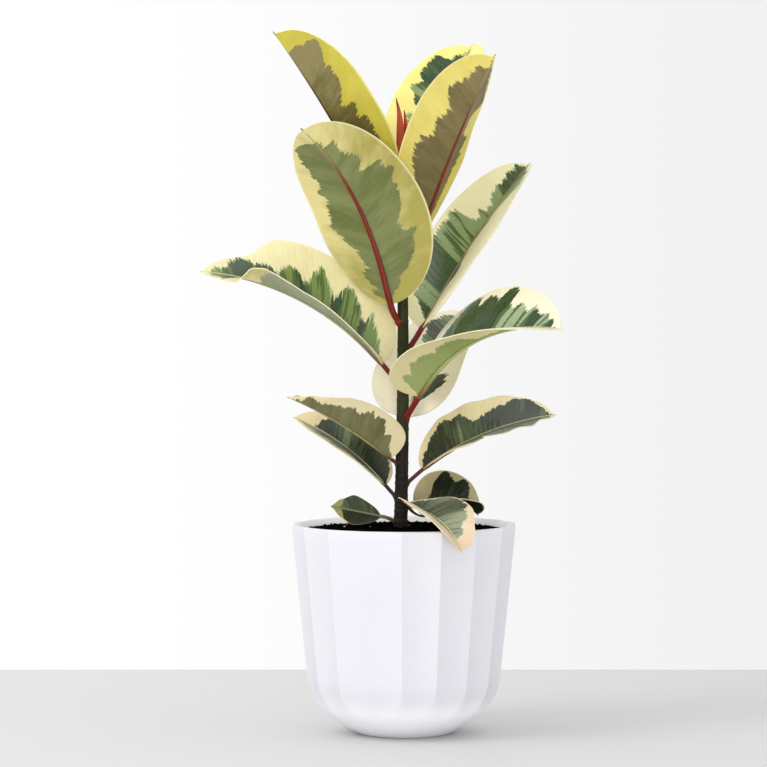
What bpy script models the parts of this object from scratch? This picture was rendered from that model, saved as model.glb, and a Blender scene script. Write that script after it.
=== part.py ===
"""A variegated rubber plant (Ficus elastica) growing in a fluted pot.

Metres, +Z up. The origin is the centre of the pot's flat base. +X is to the right of the side
that the plant shows best, and +Y runs away from it.
"""
from math import atan2, cos, hypot, pi, radians, sin

import bmesh
import bpy
from mathutils import Matrix, Vector

# Pot: a turned body that tapers to a rounded foot, with concave flutes around it.
POT_HEIGHT = 0.209
POT_RIM_RADIUS = 0.113
POT_SHOULDER_HEIGHT = 0.063     # the straight taper ends here and the foot curves in
POT_SHOULDER_RADIUS = 0.098
POT_BASE_RADIUS = 0.045
FOOT_CURVE = 2.7                # the power that the foot curves in by
POT_WALL = 0.0125
POT_FLOOR = 0.009
FLOOR_CORNER = 0.003            # the wall meets the floor with a bevel this wide
LIP_ROUND = 0.0015
LIP_WIDTH = 0.0065              # the lip is flat this far in, and then slopes down to the soil
LIP_SLOPE_FOOT = 0.2036         # the height at which that slope meets the inner wall
FLUTES = 18
FLUTE_DEPTH = 0.0034
FLUTE_TURN = radians(-1.4)      # how far the ridges are turned round the pot
FLUTE_FADE_TOP = 0.045          # the flutes narrow to nothing between these two heights
FLUTE_FADE_END = 0.020
STEPS_ROUND = 4 * FLUTES

# Soil
GAP = 0.0003                    # clearance between pieces that touch
SOIL_EDGE = 0.2030
SOIL_CROWN = 0.2060
SOIL_MOUND = ((0.085, 0.2042), (0.045, 0.2056))     # (radius, height) between those two

# Stem and roots
STEM_APEX = 0.548
STEM_RADIUS = 0.0068            # at the soil
STEM_TIP_RADIUS = 0.0046
STEM_LEFT = -0.0034
STEM_BOW = 0.0024
TAPROOT = (                     # (height, radius) up to the soil
    (0.118, 0.0012), (0.138, 0.0030), (0.158, 0.0050), (0.175, 0.0068), (0.189, 0.0076),
    (0.199, 0.0072))
SIDE_ROOTS = 5
SIDE_ROOT_REACH = 0.062
SIDE_ROOT_RADIUS = 0.0030
SIDE_ROOT_TOP = 0.189           # they leave the taproot at three heights, this far apart
SIDE_ROOT_SPACING = 0.007
SIDE_ROOT_FALLS = (0.050, 0.062)
SIDE_ROOT_SWING = 0.35
SIDE_ROOT_STEPS = 6

# Leaves
BLADE_THICKNESS = 0.0012
PETIOLE_FLARE = 1.4             # of its radius, where it meets the stem
MARGIN_MINIMUM = 0.0008         # half width left at a leaf's very tip
BLADE_STATIONS = (
    0.018, 0.05, 0.11, 0.19, 0.29, 0.40, 0.51, 0.62, 0.71, 0.76, 0.81, 0.88, 0.94, 0.975, 1.0)
ACROSS = (-1.0, -0.6, -0.12, 0.0, 0.12, 0.6, 1.0)
PETIOLE_STEPS = 4

# One entry a leaf. Lengths are metres and angles degrees. "node" is the height on the stem,
# "azimuth" the way the leaf points (0 is +X, 90 is +Y), "leave" and "land" the petiole's pitch at
# the stem and at the blade, "stalk" the radius of the petiole and of the midrib below the blade,
# "rise" the blade's pitch at its base and "droop" what it loses to the tip, "turn" its change of
# heading, "roll" its turn about the midrib, and "cup" how far the left and right halves curl over
# to their margins. "fold" is how far the halves are raised and "wide" scales their widths, both in
# rows of (share of the length, left, right).
LEAVES = {
    "leaf_top_left": dict(
        node=0.503, azimuth=-160, leave=50, petiole=0.022, stalk=0.0020, rise=59, length=0.210,
        width=0.131, droop=8, bend=2.0, skew=1.12, cup=(20, 20), fold=((0, 38, 38), (1, 38, 38))),
    "leaf_top_back": dict(
        node=0.518, azimuth=48, leave=55, petiole=0.020, stalk=0.0020, rise=67, length=0.184,
        width=0.116, droop=20, bend=1.5, cup=(20, 20), fold=((0, 25, 25), (1, 25, 25))),
    "leaf_top_right": dict(
        node=0.463, azimuth=-45, leave=50, petiole=0.026, stalk=0.0023, rise=65, length=0.214,
        width=0.102, droop=10, skew=1.1, cup=(24, 15), fold=((0, 38, 24), (1, 42, 58)),
        wide=((0, 1.45, 1), (0.35, 1.2, 1), (0.6, 0.98, 1), (1, 0.9, 1))),
    "leaf_front_large": dict(
        node=0.411, azimuth=-140, leave=44, petiole=0.020, stalk=0.0032, rise=74, length=0.203,
        width=0.128, droop=34, bend=1.4, turn=-20, roll=35, full=2.3, skew=1.08, cup=(10, 16),
        fold=((0, 8, 26), (1, 8, 26)), wide=((0, 1.06, 1), (0.5, 1.06, 1), (1, 1, 1.12))),
    "leaf_right_upper": dict(
        node=0.383, azimuth=30, leave=50, petiole=0.026, stalk=0.0028, rise=57, length=0.212,
        width=0.108, droop=11, bend=1.4, fold=((0, 36, 22), (1, 36, 22)),
        wide=((0, 0.95, 1.08), (1, 0.95, 1.08))),
    "leaf_left_long": dict(
        node=0.351, azimuth=180, leave=50, petiole=0.022, stalk=0.0025, rise=50, length=0.210,
        width=0.112, droop=46, roll=-30, skew=0.92,
        fold=((0, 40, 60), (0.5, 47, 34), (0.7, 55, 24), (0.76, 51, 22), (0.81, 28, 20), (1, 22, 8)),
        wide=((0, 1, 1), (0.4, 1, 1.06), (0.71, 1, 1.26), (0.81, 1, 0.74), (1, 1, 0.7))),
    "leaf_right_long": dict(
        node=0.317, azimuth=-48, leave=45, petiole=0.026, stalk=0.0029, rise=52, length=0.194,
        width=0.124, droop=61, turn=20, skew=0.78, fold=((0, 60, 22), (1, 52, 0)),
        wide=((0, 1.08, 1), (0.3, 1.08, 0.97), (0.6, 1.08, 0.86), (0.8, 1.02, 0.9), (1, 0.8, 1))),
    "leaf_behind_stem": dict(
        node=0.304, azimuth=67, leave=40, petiole=0.014, stalk=0.0020, rise=64, length=0.150,
        width=0.094, droop=36, turn=-20, skew=0.8, cup=(10, 10), fold=((0, 15, 15), (1, 15, 15)),
        wide=((0, 1.06, 1.1), (1, 1.06, 1.1))),
    "leaf_left_middle": dict(
        node=0.270, azimuth=-152, leave=35, petiole=0.007, stalk=0.0019, rise=37, length=0.132,
        width=0.096, droop=16, skew=0.75, fold=((0, 54, 30), (1, 34, 30)),
        wide=((0, 0.88, 1), (0.6, 0.88, 1), (0.85, 0.56, 0.7), (1, 0.14, 0.14))),
    "leaf_left_lower": dict(
        node=0.237, azimuth=165, leave=45, petiole=0.014, stalk=0.0019, rise=49, length=0.118,
        width=0.077, droop=28, fold=((0, 12, 40), (0.4, 12, 40), (1, 2, 40)),
        wide=((0, 1, 1), (0.65, 1, 1), (1, 0.5, 0.8))),
    "leaf_right_lower": dict(
        node=0.250, azimuth=22, leave=40, petiole=0.020, stalk=0.0020, rise=37, length=0.158,
        width=0.098, droop=31, bend=0.8, skew=1.12, fold=((0, 42, 20), (1, 42, 3)),
        wide=((0, 0.8, 1), (0.24, 0.95, 0.85), (0.34, 1, 1.1), (0.42, 1, 0.5), (0.52, 1, 1.05),
              (0.68, 1, 1), (0.85, 1, 0.6), (1, 1, 0.5))),
    "leaf_small_left": dict(
        node=0.212, azimuth=-168, leave=30, land=10, petiole=0.014, rise=12, length=0.052,
        width=0.034, roll=-52, full=1.8, skew=1.4, cup=(10, 10), fold=((0, 15, 15), (1, 15, 15)),
        wide=((0, 1.12, 1), (0.55, 1.12, 1), (0.82, 0.9, 0.7), (1, 0.3, 0.3))),
    "leaf_small_back": dict(
        node=0.227, azimuth=18, leave=-60, land=-10, petiole=0.020, rise=46, length=0.066,
        width=0.080, droop=92, cup=(20, 20), fold=((0, 62, 20), (1, 62, 20)),
        wide=((0, 0.88, 1), (0.5, 1.02, 1), (0.75, 0.93, 1), (1, 0.7, 1))),
    "leaf_small_front": dict(
        node=0.232, azimuth=-74, leave=0, petiole=0.014, rise=-6, length=0.124, width=0.070,
        droop=60, bend=3.0, turn=26, roll=20, full=2.2, skew=1.5, cup=(20, 20),
        fold=((0, 22, 56), (1, 22, 56)),
        wide=((0, 0.5, 1), (0.2, 0.6, 1), (0.48, 0.95, 1), (0.7, 0.95, 1), (0.85, 0.8, 1), (1, 0.8, 0.7))),
}
LEAF_DEFAULTS = dict(
    stalk=0.0018, droop=0, bend=1.0, turn=0, roll=0, full=2.15, skew=1.0, cup=(15, 15),
    wide=((0, 1, 1), (1, 1, 1)))

# Colours: (red, green, blue), roughness
GLAZE = ((0.83, 0.83, 0.84), 0.5)
SOIL = ((0.016, 0.012, 0.010), 0.95)
BARK = ((0.030, 0.034, 0.018), 0.7)
RED_SHEATH = ((0.42, 0.030, 0.018), 0.4)
CREAM_AND_GREEN = ((0.34, 0.36, 0.15), 0.4)


def clear_scene():
    for item in list(bpy.data.objects):
        bpy.data.objects.remove(item)


def new_collection(name, hidden=False):
    collection = bpy.data.collections.new(name)
    bpy.context.scene.collection.children.link(collection)
    collection.hide_render = hidden
    return collection


def new_material(name, look):
    colour, roughness = look
    material = bpy.data.materials.new(name)
    material.use_nodes = True
    shader = material.node_tree.nodes["Principled BSDF"]
    shader.inputs["Base Color"].default_value = (*colour, 1)
    shader.inputs["Roughness"].default_value = roughness
    shader.inputs["Metallic"].default_value = 0
    return material


def new_object(name, mesh, collection, look=None):
    item = bpy.data.objects.new(name, mesh)
    collection.objects.link(item)
    if look:
        mesh.materials.clear()
        mesh.materials.append(new_material(name, look))
    return item


def evaluated_mesh(item):
    """The object's mesh with its modifiers applied. The object itself is removed."""
    bpy.context.view_layer.update()
    mesh = bpy.data.meshes.new_from_object(item.evaluated_get(bpy.context.evaluated_depsgraph_get()))
    mesh.name = item.name
    bpy.data.objects.remove(item)
    return mesh


def shade(mesh, angle=40):
    mesh.shade_smooth()
    mesh.set_sharp_from_angle(angle=radians(angle))


def turned(name, profile, collection, steps):
    """A solid of revolution about Z. The profile of (radius, height) runs down the outer side."""
    mesh = bpy.data.meshes.new(name)
    points = [(radius, 0, height) for radius, height in profile]
    mesh.from_pydata(points, [(i, i + 1) for i in range(len(points) - 1)], [])
    item = new_object(name, mesh, collection)
    screw = item.modifiers.new("turn", "SCREW")
    screw.steps = screw.render_steps = steps
    screw.use_merge_vertices = True
    screw.merge_threshold = 0.00002
    return evaluated_mesh(item)


# Pot ---------------------------------------------------------------------------------------------

TAPER = (POT_RIM_RADIUS - POT_SHOULDER_RADIUS) / (POT_HEIGHT - POT_SHOULDER_HEIGHT)


def pot_radius(height):
    """The pot's outer radius on a ridge between two flutes."""
    radius = POT_SHOULDER_RADIUS + TAPER * (height - POT_SHOULDER_HEIGHT)
    if height < POT_SHOULDER_HEIGHT:
        foot_inset = POT_SHOULDER_RADIUS - TAPER * POT_SHOULDER_HEIGHT - POT_BASE_RADIUS
        radius -= foot_inset * (1 - height / POT_SHOULDER_HEIGHT) ** FOOT_CURVE
    return radius


def flute_cut(angle, height):
    """How far the flutes cut into the pot at this angle about Z and this height."""
    flutes_round = (angle + pi / 2 - FLUTE_TURN) * FLUTES / (2 * pi)
    from_ridge = 2 * abs(flutes_round - round(flutes_round))
    hollow = FLUTE_DEPTH * (1 - (1 - from_ridge) ** 2)
    fade = FLUTE_DEPTH * (FLUTE_FADE_TOP - height) / (FLUTE_FADE_TOP - FLUTE_FADE_END)
    return max(0.0, hollow - max(0.0, fade))


def inner_radius(height):
    return pot_radius(height) - POT_WALL


INNER_HEIGHTS = (0.013, 0.018, 0.024, 0.033, 0.046, POT_SHOULDER_HEIGHT, 0.130)
OUTER_HEIGHTS = (
    0.130, POT_SHOULDER_HEIGHT, 0.053, FLUTE_FADE_TOP, 0.037, 0.030, 0.025, FLUTE_FADE_END,
    0.012, 0.007, 0.003)


def make_pot(collection):
    lip = POT_HEIGHT - LIP_ROUND
    profile = [(0, POT_FLOOR), (inner_radius(POT_FLOOR) - FLOOR_CORNER, POT_FLOOR)]
    profile += [(inner_radius(height), height) for height in INNER_HEIGHTS]
    profile += [(inner_radius(LIP_SLOPE_FOOT), LIP_SLOPE_FOOT),
                (pot_radius(POT_HEIGHT) - LIP_WIDTH, POT_HEIGHT),
                (pot_radius(POT_HEIGHT) - LIP_ROUND, POT_HEIGHT),
                (pot_radius(lip), lip)]
    profile += [(pot_radius(height), height) for height in OUTER_HEIGHTS]
    profile += [(POT_BASE_RADIUS, 0), (0, 0)]
    mesh = turned("pot", profile, collection, STEPS_ROUND)

    mesh.transform(Matrix.Rotation(FLUTE_TURN, 4, "Z"))
    for vertex in mesh.vertices:
        x, y, height = vertex.co
        radius = hypot(x, y)
        on_outside = radius > pot_radius(height) - 1.5 * LIP_ROUND and height > 0
        if on_outside:
            vertex.co.xy *= 1 - flute_cut(atan2(y, x), height) / radius
    shade(mesh, 12)
    return new_object("pot", mesh, collection, GLAZE)


# Soil --------------------------------------------------------------------------------------------

def make_soil(collection, root_ball):
    bottom = POT_FLOOR + GAP
    profile = [(0, bottom), (inner_radius(POT_FLOOR) - FLOOR_CORNER - GAP, bottom)]
    profile += [(inner_radius(height) - GAP, height) for height in INNER_HEIGHTS]
    profile += [(inner_radius(SOIL_EDGE) - GAP, SOIL_EDGE), *SOIL_MOUND, (0, SOIL_CROWN)]
    profile.reverse()
    mesh = turned("potting_soil", profile, collection, STEPS_ROUND)
    mesh.transform(Matrix.Rotation(FLUTE_TURN, 4, "Z"))
    soil = new_object("potting_soil", mesh, collection, SOIL)
    cut(soil, root_ball, "DIFFERENCE")
    return soil


def cut(item, tool, operation):
    boolean = item.modifiers.new(operation.lower(), "BOOLEAN")
    boolean.object = tool
    boolean.operation = operation
    boolean.solver = "EXACT"


# Stem, roots and bud -----------------------------------------------------------------------------

def stem_centre(height):
    share = min(max((height - SOIL_CROWN) / (STEM_APEX - SOIL_CROWN), 0), 1)
    return Vector((STEM_LEFT + STEM_BOW * sin(pi * share), 0, height))


def stem_radius(height):
    share = min(max((height - SOIL_CROWN) / (STEM_APEX - SOIL_CROWN), 0), 1)
    return STEM_RADIUS + (STEM_TIP_RADIUS - STEM_RADIUS) * share


def tube(name, points, radii, collection, sides=12):
    """A tapering rod through the points, closed at both ends."""
    curve = bpy.data.curves.new(name, "CURVE")
    curve.dimensions = "3D"
    curve.bevel_depth = 1
    curve.bevel_resolution = sides // 2 - 2
    curve.use_fill_caps = True
    spline = curve.splines.new("POLY")
    spline.points.add(len(points) - 1)
    for knot, point, radius in zip(spline.points, points, radii):
        knot.co = (*point, 1)
        knot.radius = radius
    item = bpy.data.objects.new(name, curve)
    collection.objects.link(item)
    mesh = evaluated_mesh(item)
    shaped = bmesh.new()
    shaped.from_mesh(mesh)
    bmesh.ops.remove_doubles(shaped, verts=shaped.verts, dist=0.00001)
    shaped.to_mesh(mesh)
    shaped.free()
    bpy.data.curves.remove(curve)
    return mesh


def side_root(index):
    """Points down one of the roots that spread from the crown, and their radii."""
    heading = 2 * pi * index / SIDE_ROOTS + 0.5
    start = SIDE_ROOT_TOP - SIDE_ROOT_SPACING * (index % 3)
    fall = SIDE_ROOT_FALLS[index % 2]
    points, radii = [], []
    for step in range(SIDE_ROOT_STEPS + 1):
        share = step / SIDE_ROOT_STEPS
        out = SIDE_ROOT_REACH * share
        swing = heading + SIDE_ROOT_SWING * sin(3 * share + index)
        centre = stem_centre(start)
        points.append(centre + Vector((out * cos(swing), out * sin(swing), -fall * share ** 1.4)))
        radii.append(SIDE_ROOT_RADIUS * (1 - 0.75 * share))
    return points, radii


def stem_with_roots(name, collection, grow=0.0):
    """The stem, its taproot and its side roots in one solid, larger all round by grow."""
    above = [SOIL_CROWN + (STEM_APEX - SOIL_CROWN) * step / 24 for step in range(25)]
    rings = list(TAPROOT) + [(height, stem_radius(height)) for height in above]
    points = [stem_centre(height) for height, radius in rings]
    radii = [radius + grow for height, radius in rings]
    points[0].z -= grow
    trunk = new_object(name, tube(name, points, radii, collection, 16), collection)
    for index in range(SIDE_ROOTS):
        points, radii = side_root(index)
        points[-1] += (points[-1] - points[-2]).normalized() * grow
        mesh = tube("root", points, [radius + grow for radius in radii], collection, 8)
        root = new_object("root", mesh, collection)
        cut(trunk, root, "UNION")
        joined = evaluated_mesh(trunk)
        discard(root)
        trunk = new_object(name, joined, collection)
    return trunk


def discard(item):
    mesh = item.data
    bpy.data.objects.remove(item)
    bpy.data.meshes.remove(mesh)


def make_stem(collection):
    stem = stem_with_roots("stem", collection)
    stem.data.materials.append(new_material("stem", BARK))
    shade(stem.data)
    return stem


BUDS = {
    "bud_sheath": (
        ((-0.0036, -0.0010, 0.5485), (-0.0038, -0.0014, 0.5580), (-0.0037, -0.0016, 0.5800),
         (-0.0036, -0.0014, 0.6000), (-0.0048, -0.0006, 0.6180), (-0.0079, 0.0, 0.6330)),
        (0.0022, 0.0034, 0.0044, 0.0039, 0.0023, 0.0005)),
    "bud_spike": (
        ((-0.0014, 0.0022, 0.5485), (0.0006, 0.0032, 0.5580), (0.0022, 0.0034, 0.5780),
         (0.0020, 0.0034, 0.6000), (0.0010, 0.0030, 0.6140), (0.0000, 0.0026, 0.6215)),
        (0.0011, 0.0016, 0.0024, 0.0024, 0.0013, 0.0004)),
}


def make_bud(name, collection):
    points, radii = BUDS[name]
    mesh = tube(name, points, radii, collection, 12)
    shade(mesh, 60)
    return new_object(name, mesh, collection, RED_SHEATH)


# Leaves ------------------------------------------------------------------------------------------

def direction(pitch, heading):
    return Vector((cos(pitch) * cos(heading), cos(pitch) * sin(heading), sin(pitch)))


def read_rows(rows, share, eased=False):
    """The two values at this share, between one (share, value, value) row and the next."""
    for before, after in zip(rows, rows[1:]):
        if share <= after[0]:
            part = (share - before[0]) / (after[0] - before[0])
            if eased:
                part = part * part * (3 - 2 * part)
            return [low + (high - low) * part for low, high in zip(before[1:], after[1:])]
    return rows[-1][1:]


def half_width(share, leaf):
    """The blade's half width at this share of its length, against 1 at its widest."""
    along = min(share / 0.9825, 1.0) ** leaf["skew"]
    body = max(0.0, 1 - abs(2 * along - 1) ** leaf["full"]) ** 0.5
    drip_tip = min(0.75 * (1 - share), 0.10) if share > 0.5 else 0
    return max(body, drip_tip)


class LeafShape:
    """A leaf's petiole and blade as a row of stations, each with a centre and three axes."""

    def __init__(self, values):
        self.values = {**LEAF_DEFAULTS, **values}
        leaf = self.values
        self.heading = radians(leaf["azimuth"])
        self.leave = radians(leaf["leave"])
        self.rise = radians(leaf["rise"])
        self.land = radians(leaf.get("land", leaf["rise"]))

    def petiole(self, steps=PETIOLE_STEPS):
        """Points from the stem to the blade."""
        leaf = self.values
        height = leaf["node"]
        outward = direction(0, self.heading)
        point = stem_centre(height) + outward * (stem_radius(height) + GAP)
        points = [point]
        for step in range(steps):
            pitch = self.leave + (self.land - self.leave) * (step + 0.5) / steps
            point = point + direction(pitch, self.heading) * leaf["petiole"] / steps
            points.append(point)
        return points

    def axes(self, share):
        """Forward, left and up at this share of the blade's length."""
        leaf = self.values
        pitch = self.rise - radians(leaf["droop"]) * share ** leaf["bend"]
        heading = self.heading + radians(leaf["turn"]) * share
        forward = direction(pitch, heading)
        level = Vector((-sin(heading), cos(heading), 0))
        upright = forward.cross(level)
        roll = radians(leaf["roll"])
        left = level * cos(roll) + upright * sin(roll)
        up = upright * cos(roll) - level * sin(roll)
        return forward, left, up

    def midrib(self, stations):
        """Centres at the stations, walked in small steps from the petiole's end."""
        steps = 120
        point = self.petiole(12)[-1]
        walked = [point]
        for step in range(steps):
            forward = self.axes((step + 0.5) / steps)[0]
            point = point + forward * self.values["length"] / steps
            walked.append(point)
        return [walked[round(share * steps)] for share in stations]

    def section(self, share, centre):
        """The closed outline of the blade here: over the top from left to right and back below."""
        leaf = self.values
        left, up = self.axes(share)[1:]
        fullness = half_width(share, leaf)
        wide = read_rows(leaf["wide"], share, eased=True)
        folds = read_rows(leaf["fold"], share)
        thin = min(1.0, 3 * (1 - share) + 0.35)
        rib = BLADE_THICKNESS * thin + leaf["stalk"] * (1 - share)
        top, bottom = [], []
        for across in ACROSS:
            half = 0 if across < 0 else 1
            outward = left if half == 0 else -left
            fold = radians(folds[half])
            curl = radians(leaf["cup"][half]) * fullness
            reach = max(leaf["width"] / 2 * wide[half] * fullness, MARGIN_MINIMUM)
            here = fold - curl * abs(across)
            if curl > 0.001:
                out = reach * (sin(fold) - sin(here)) / curl
                rise = reach * (cos(here) - cos(fold)) / curl
            else:
                out = reach * abs(across) * cos(fold)
                rise = reach * abs(across) * sin(fold)
            surface = centre + outward * out + up * rise
            if across == 0:
                below = surface - up * rib
            else:
                below = surface - (up * cos(here) - outward * sin(here)) * BLADE_THICKNESS * thin
            top.append(surface)
            bottom.append(below)
        return top + bottom[::-1]


def round_section(centre, left, up, radius):
    """A circle with as many points as a blade's section, in the same order."""
    count = 2 * len(ACROSS)
    angles = [2 * pi * (index + 0.5) / count for index in range(count)]
    return [centre + (left * cos(angle) + up * sin(angle)) * radius for angle in angles]


def loft(name, sections):
    """A closed skin over sections that hold the same number of points."""
    shaped = bmesh.new()
    rings = [[shaped.verts.new(point) for point in section] for section in sections]
    count = len(rings[0])
    for ring, following in zip(rings, rings[1:]):
        for index in range(count):
            beside = (index + 1) % count
            shaped.faces.new((ring[index], ring[beside], following[beside], following[index]))
    shaped.faces.new(rings[0])
    shaped.faces.new(rings[-1])
    bmesh.ops.recalc_face_normals(shaped, faces=shaped.faces)
    mesh = bpy.data.meshes.new(name)
    shaped.to_mesh(mesh)
    shaped.free()
    return mesh


def make_leaf(name, collection):
    shape = LeafShape(LEAVES[name])
    level = Vector((-sin(shape.heading), cos(shape.heading), 0))
    left, up = shape.axes(0)[1:]
    petiole = shape.petiole()
    stalk = shape.values["stalk"]
    sections = [round_section(petiole[0], level, Vector((0, 0, 1)), PETIOLE_FLARE * stalk)]
    for step, point in enumerate(petiole[1:], start=1):
        pitch = shape.leave + (shape.land - shape.leave) * step / PETIOLE_STEPS
        over = direction(pitch, shape.heading).cross(level)
        turn = step / PETIOLE_STEPS
        side = (level * (1 - turn) + left * turn).normalized()
        over = (over * (1 - turn) + up * turn).normalized()
        sections.append(round_section(point, side, over, stalk))
    for share, centre in zip(BLADE_STATIONS, shape.midrib(BLADE_STATIONS)):
        sections.append(shape.section(share, centre))
    mesh = loft(name, sections)
    shade(mesh, 60)
    return new_object(name, mesh, collection, CREAM_AND_GREEN)


def build():
    clear_scene()
    plant = new_collection("potted_rubber_plant")
    tools = new_collection("cutters", hidden=True)
    make_pot(plant)
    make_stem(plant)
    root_ball = stem_with_roots("root_ball_cutter", tools, grow=GAP)
    root_ball.hide_render = True
    root_ball.display_type = "WIRE"
    make_soil(plant, root_ball)
    for name in BUDS:
        make_bud(name, plant)
    for name in LEAVES:
        make_leaf(name, plant)


build()
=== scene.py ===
import math
import random

import bpy
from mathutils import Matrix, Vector, noise


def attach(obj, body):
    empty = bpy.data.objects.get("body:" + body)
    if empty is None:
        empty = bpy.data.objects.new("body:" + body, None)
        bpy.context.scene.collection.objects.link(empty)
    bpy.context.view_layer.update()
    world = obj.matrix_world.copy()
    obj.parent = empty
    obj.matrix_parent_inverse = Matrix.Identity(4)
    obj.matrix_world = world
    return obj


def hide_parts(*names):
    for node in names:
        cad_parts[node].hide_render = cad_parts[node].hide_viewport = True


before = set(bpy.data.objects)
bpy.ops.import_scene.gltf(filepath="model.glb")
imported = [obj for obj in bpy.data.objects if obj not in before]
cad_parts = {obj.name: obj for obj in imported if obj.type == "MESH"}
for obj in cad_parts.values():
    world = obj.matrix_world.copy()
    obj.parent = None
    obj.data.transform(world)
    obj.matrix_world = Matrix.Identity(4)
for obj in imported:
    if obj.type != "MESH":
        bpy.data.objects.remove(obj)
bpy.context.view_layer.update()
random.seed(11)
print("frame loaded")


# the tools that every piece uses

def tint(red, green, blue):
    # a colour as a screen shows it, 0 to 255, on the scale that shaders use
    def linear(part):
        part /= 255
        return part / 12.92 if part <= 0.04045 else ((part + 0.055) / 1.055) ** 2.4
    return (linear(red), linear(green), linear(blue), 1)


def between(start, end, share):
    return start + (end - start) * share


def stepped(first, gap, count):
    return [first + gap * step for step in range(count)]


def along(rows, place, eased=False):
    # reads (place, value, value...) rows, each place larger than the one before; one row holds everywhere
    for before, after in zip(rows, rows[1:]):
        if place <= after[0]:
            share = max(0, (place - before[0]) / (after[0] - before[0]))
            if eased:
                share = share * share * (3 - 2 * share)
            return [between(a, b, share) for a, b in zip(before[1:], after[1:])]
    return list(rows[-1][1:])


def camelName(words):
    return words[0] + "".join(word.capitalize() for word in words[1:])


def onlySelect(*pieces):
    bpy.ops.object.select_all(action="DESELECT")
    for piece in pieces:
        piece.select_set(True)
    bpy.context.view_layer.objects.active = pieces[0]


def joined(piece, *others):
    onlySelect(piece, *others)
    bpy.ops.object.join()


def applied(piece, kind, **settings):
    onlySelect(piece)
    modifier = piece.modifiers.new(kind.lower(), kind)
    for setting, value in settings.items():
        setattr(modifier, setting, value)
    bpy.ops.object.modifier_apply(modifier=modifier.name)


def sheetPiece(name, lengthways, across, place):
    # a grid whose corners go where place(along 0 to 1, across -1 to 1) says
    bpy.ops.object.select_all(action="DESELECT")
    bpy.ops.mesh.primitive_grid_add(x_subdivisions=lengthways, y_subdivisions=across, size=1)
    piece = bpy.context.object
    piece.name = piece.data.name = name
    spots = [(corner.co.x + 0.5, 2 * corner.co.y) for corner in piece.data.vertices]
    for corner, spot in zip(piece.data.vertices, spots):
        corner.co = place(*spot)
    return piece, spots


def keepValues(piece, name, values):
    kept = piece.data.attributes.new(name, "FLOAT_VECTOR", "POINT")
    for entry, value in zip(kept.data, values):
        entry.vector = value


def weld(piece):
    onlySelect(piece)
    bpy.ops.object.mode_set(mode="EDIT")
    bpy.ops.mesh.select_all(action="SELECT")
    bpy.ops.mesh.remove_doubles(threshold=0.00001)
    bpy.ops.mesh.normals_make_consistent(inside=False)
    bpy.ops.object.mode_set(mode="OBJECT")


def rodPiece(name, rings, around, values):
    # a grid rolled into a closed rod; rings are (centre, left, up, radius), the end ones of no radius,
    # and values(ring) is kept at each corner as its patch
    last = len(rings) - 1

    def place(share, across):
        centre, left, up, radius = rings[round(share * last)]
        angle = -math.pi * across
        return centre + (left * math.cos(angle) + up * math.sin(angle)) * radius

    piece, spots = sheetPiece(name, last, around, place)
    keepValues(piece, "patch", [values(round(share * last)) for share, across in spots])
    weld(piece)
    return piece


def closedRings(rings):
    # the rings with one of no radius at each end
    return [(*rings[0][:3], 0), *rings, (*rings[-1][:3], 0)]


def turnedPiece(name, profile, sides):
    # a disc drawn out ring by ring along the (radius, height) profile, closed by its last ring
    bpy.ops.object.select_all(action="DESELECT")
    radius, height = profile[0]
    bpy.ops.mesh.primitive_circle_add(
        vertices=sides, radius=radius, fill_type="NGON", location=(0, 0, height))
    piece = bpy.context.object
    piece.name = piece.data.name = name
    bpy.ops.object.transform_apply(location=True)
    bpy.ops.object.mode_set(mode="EDIT")
    bpy.ops.mesh.select_all(action="SELECT")
    for wider, higher in profile[1:]:
        bpy.ops.mesh.extrude_region_move(TRANSFORM_OT_translate={"value": (0, 0, higher - height)})
        grow = wider / radius
        bpy.ops.transform.resize(value=(grow, grow, 1), center_override=(0, 0, higher))
        radius, height = wider, higher
    bpy.ops.mesh.select_all(action="SELECT")
    bpy.ops.mesh.normals_make_consistent(inside=False)
    bpy.ops.object.mode_set(mode="OBJECT")
    return piece


def smooth(piece, angle):
    onlySelect(piece)
    bpy.ops.object.shade_smooth_by_angle(angle=math.radians(angle))


def hand(piece, node):
    # the piece takes the place of a node of the model
    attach(piece, "root")
    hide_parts(node)


class Value:
    # one output of a node; sums written with it add Math nodes
    def __init__(self, finish, socket):
        self.finish = finish
        self.socket = socket

    def sum(self, operation, *parts, clamp=False):
        settings = {"operation": operation, "use_clamp": clamp}
        return self.finish.add("Math", settings, dict(enumerate(parts)))

    def __add__(self, other):
        return self.sum("ADD", self, other)

    __radd__ = __add__

    def __sub__(self, other):
        return self.sum("SUBTRACT", self, other)

    def __rsub__(self, other):
        return self.sum("SUBTRACT", other, self)

    def __mul__(self, other):
        return self.sum("MULTIPLY", self, other)

    __rmul__ = __mul__

    def __truediv__(self, other):
        return self.sum("DIVIDE", self, other)

    def __rtruediv__(self, other):
        return self.sum("DIVIDE", other, self)

    def __abs__(self):
        return self.sum("ABSOLUTE", self)

    def clamped(self):
        return self.sum("ADD", self, 0.0, clamp=True)

    def fraction(self):
        return self.sum("FRACT", self)

    def cosine(self):
        return self.sum("COSINE", self)


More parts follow.
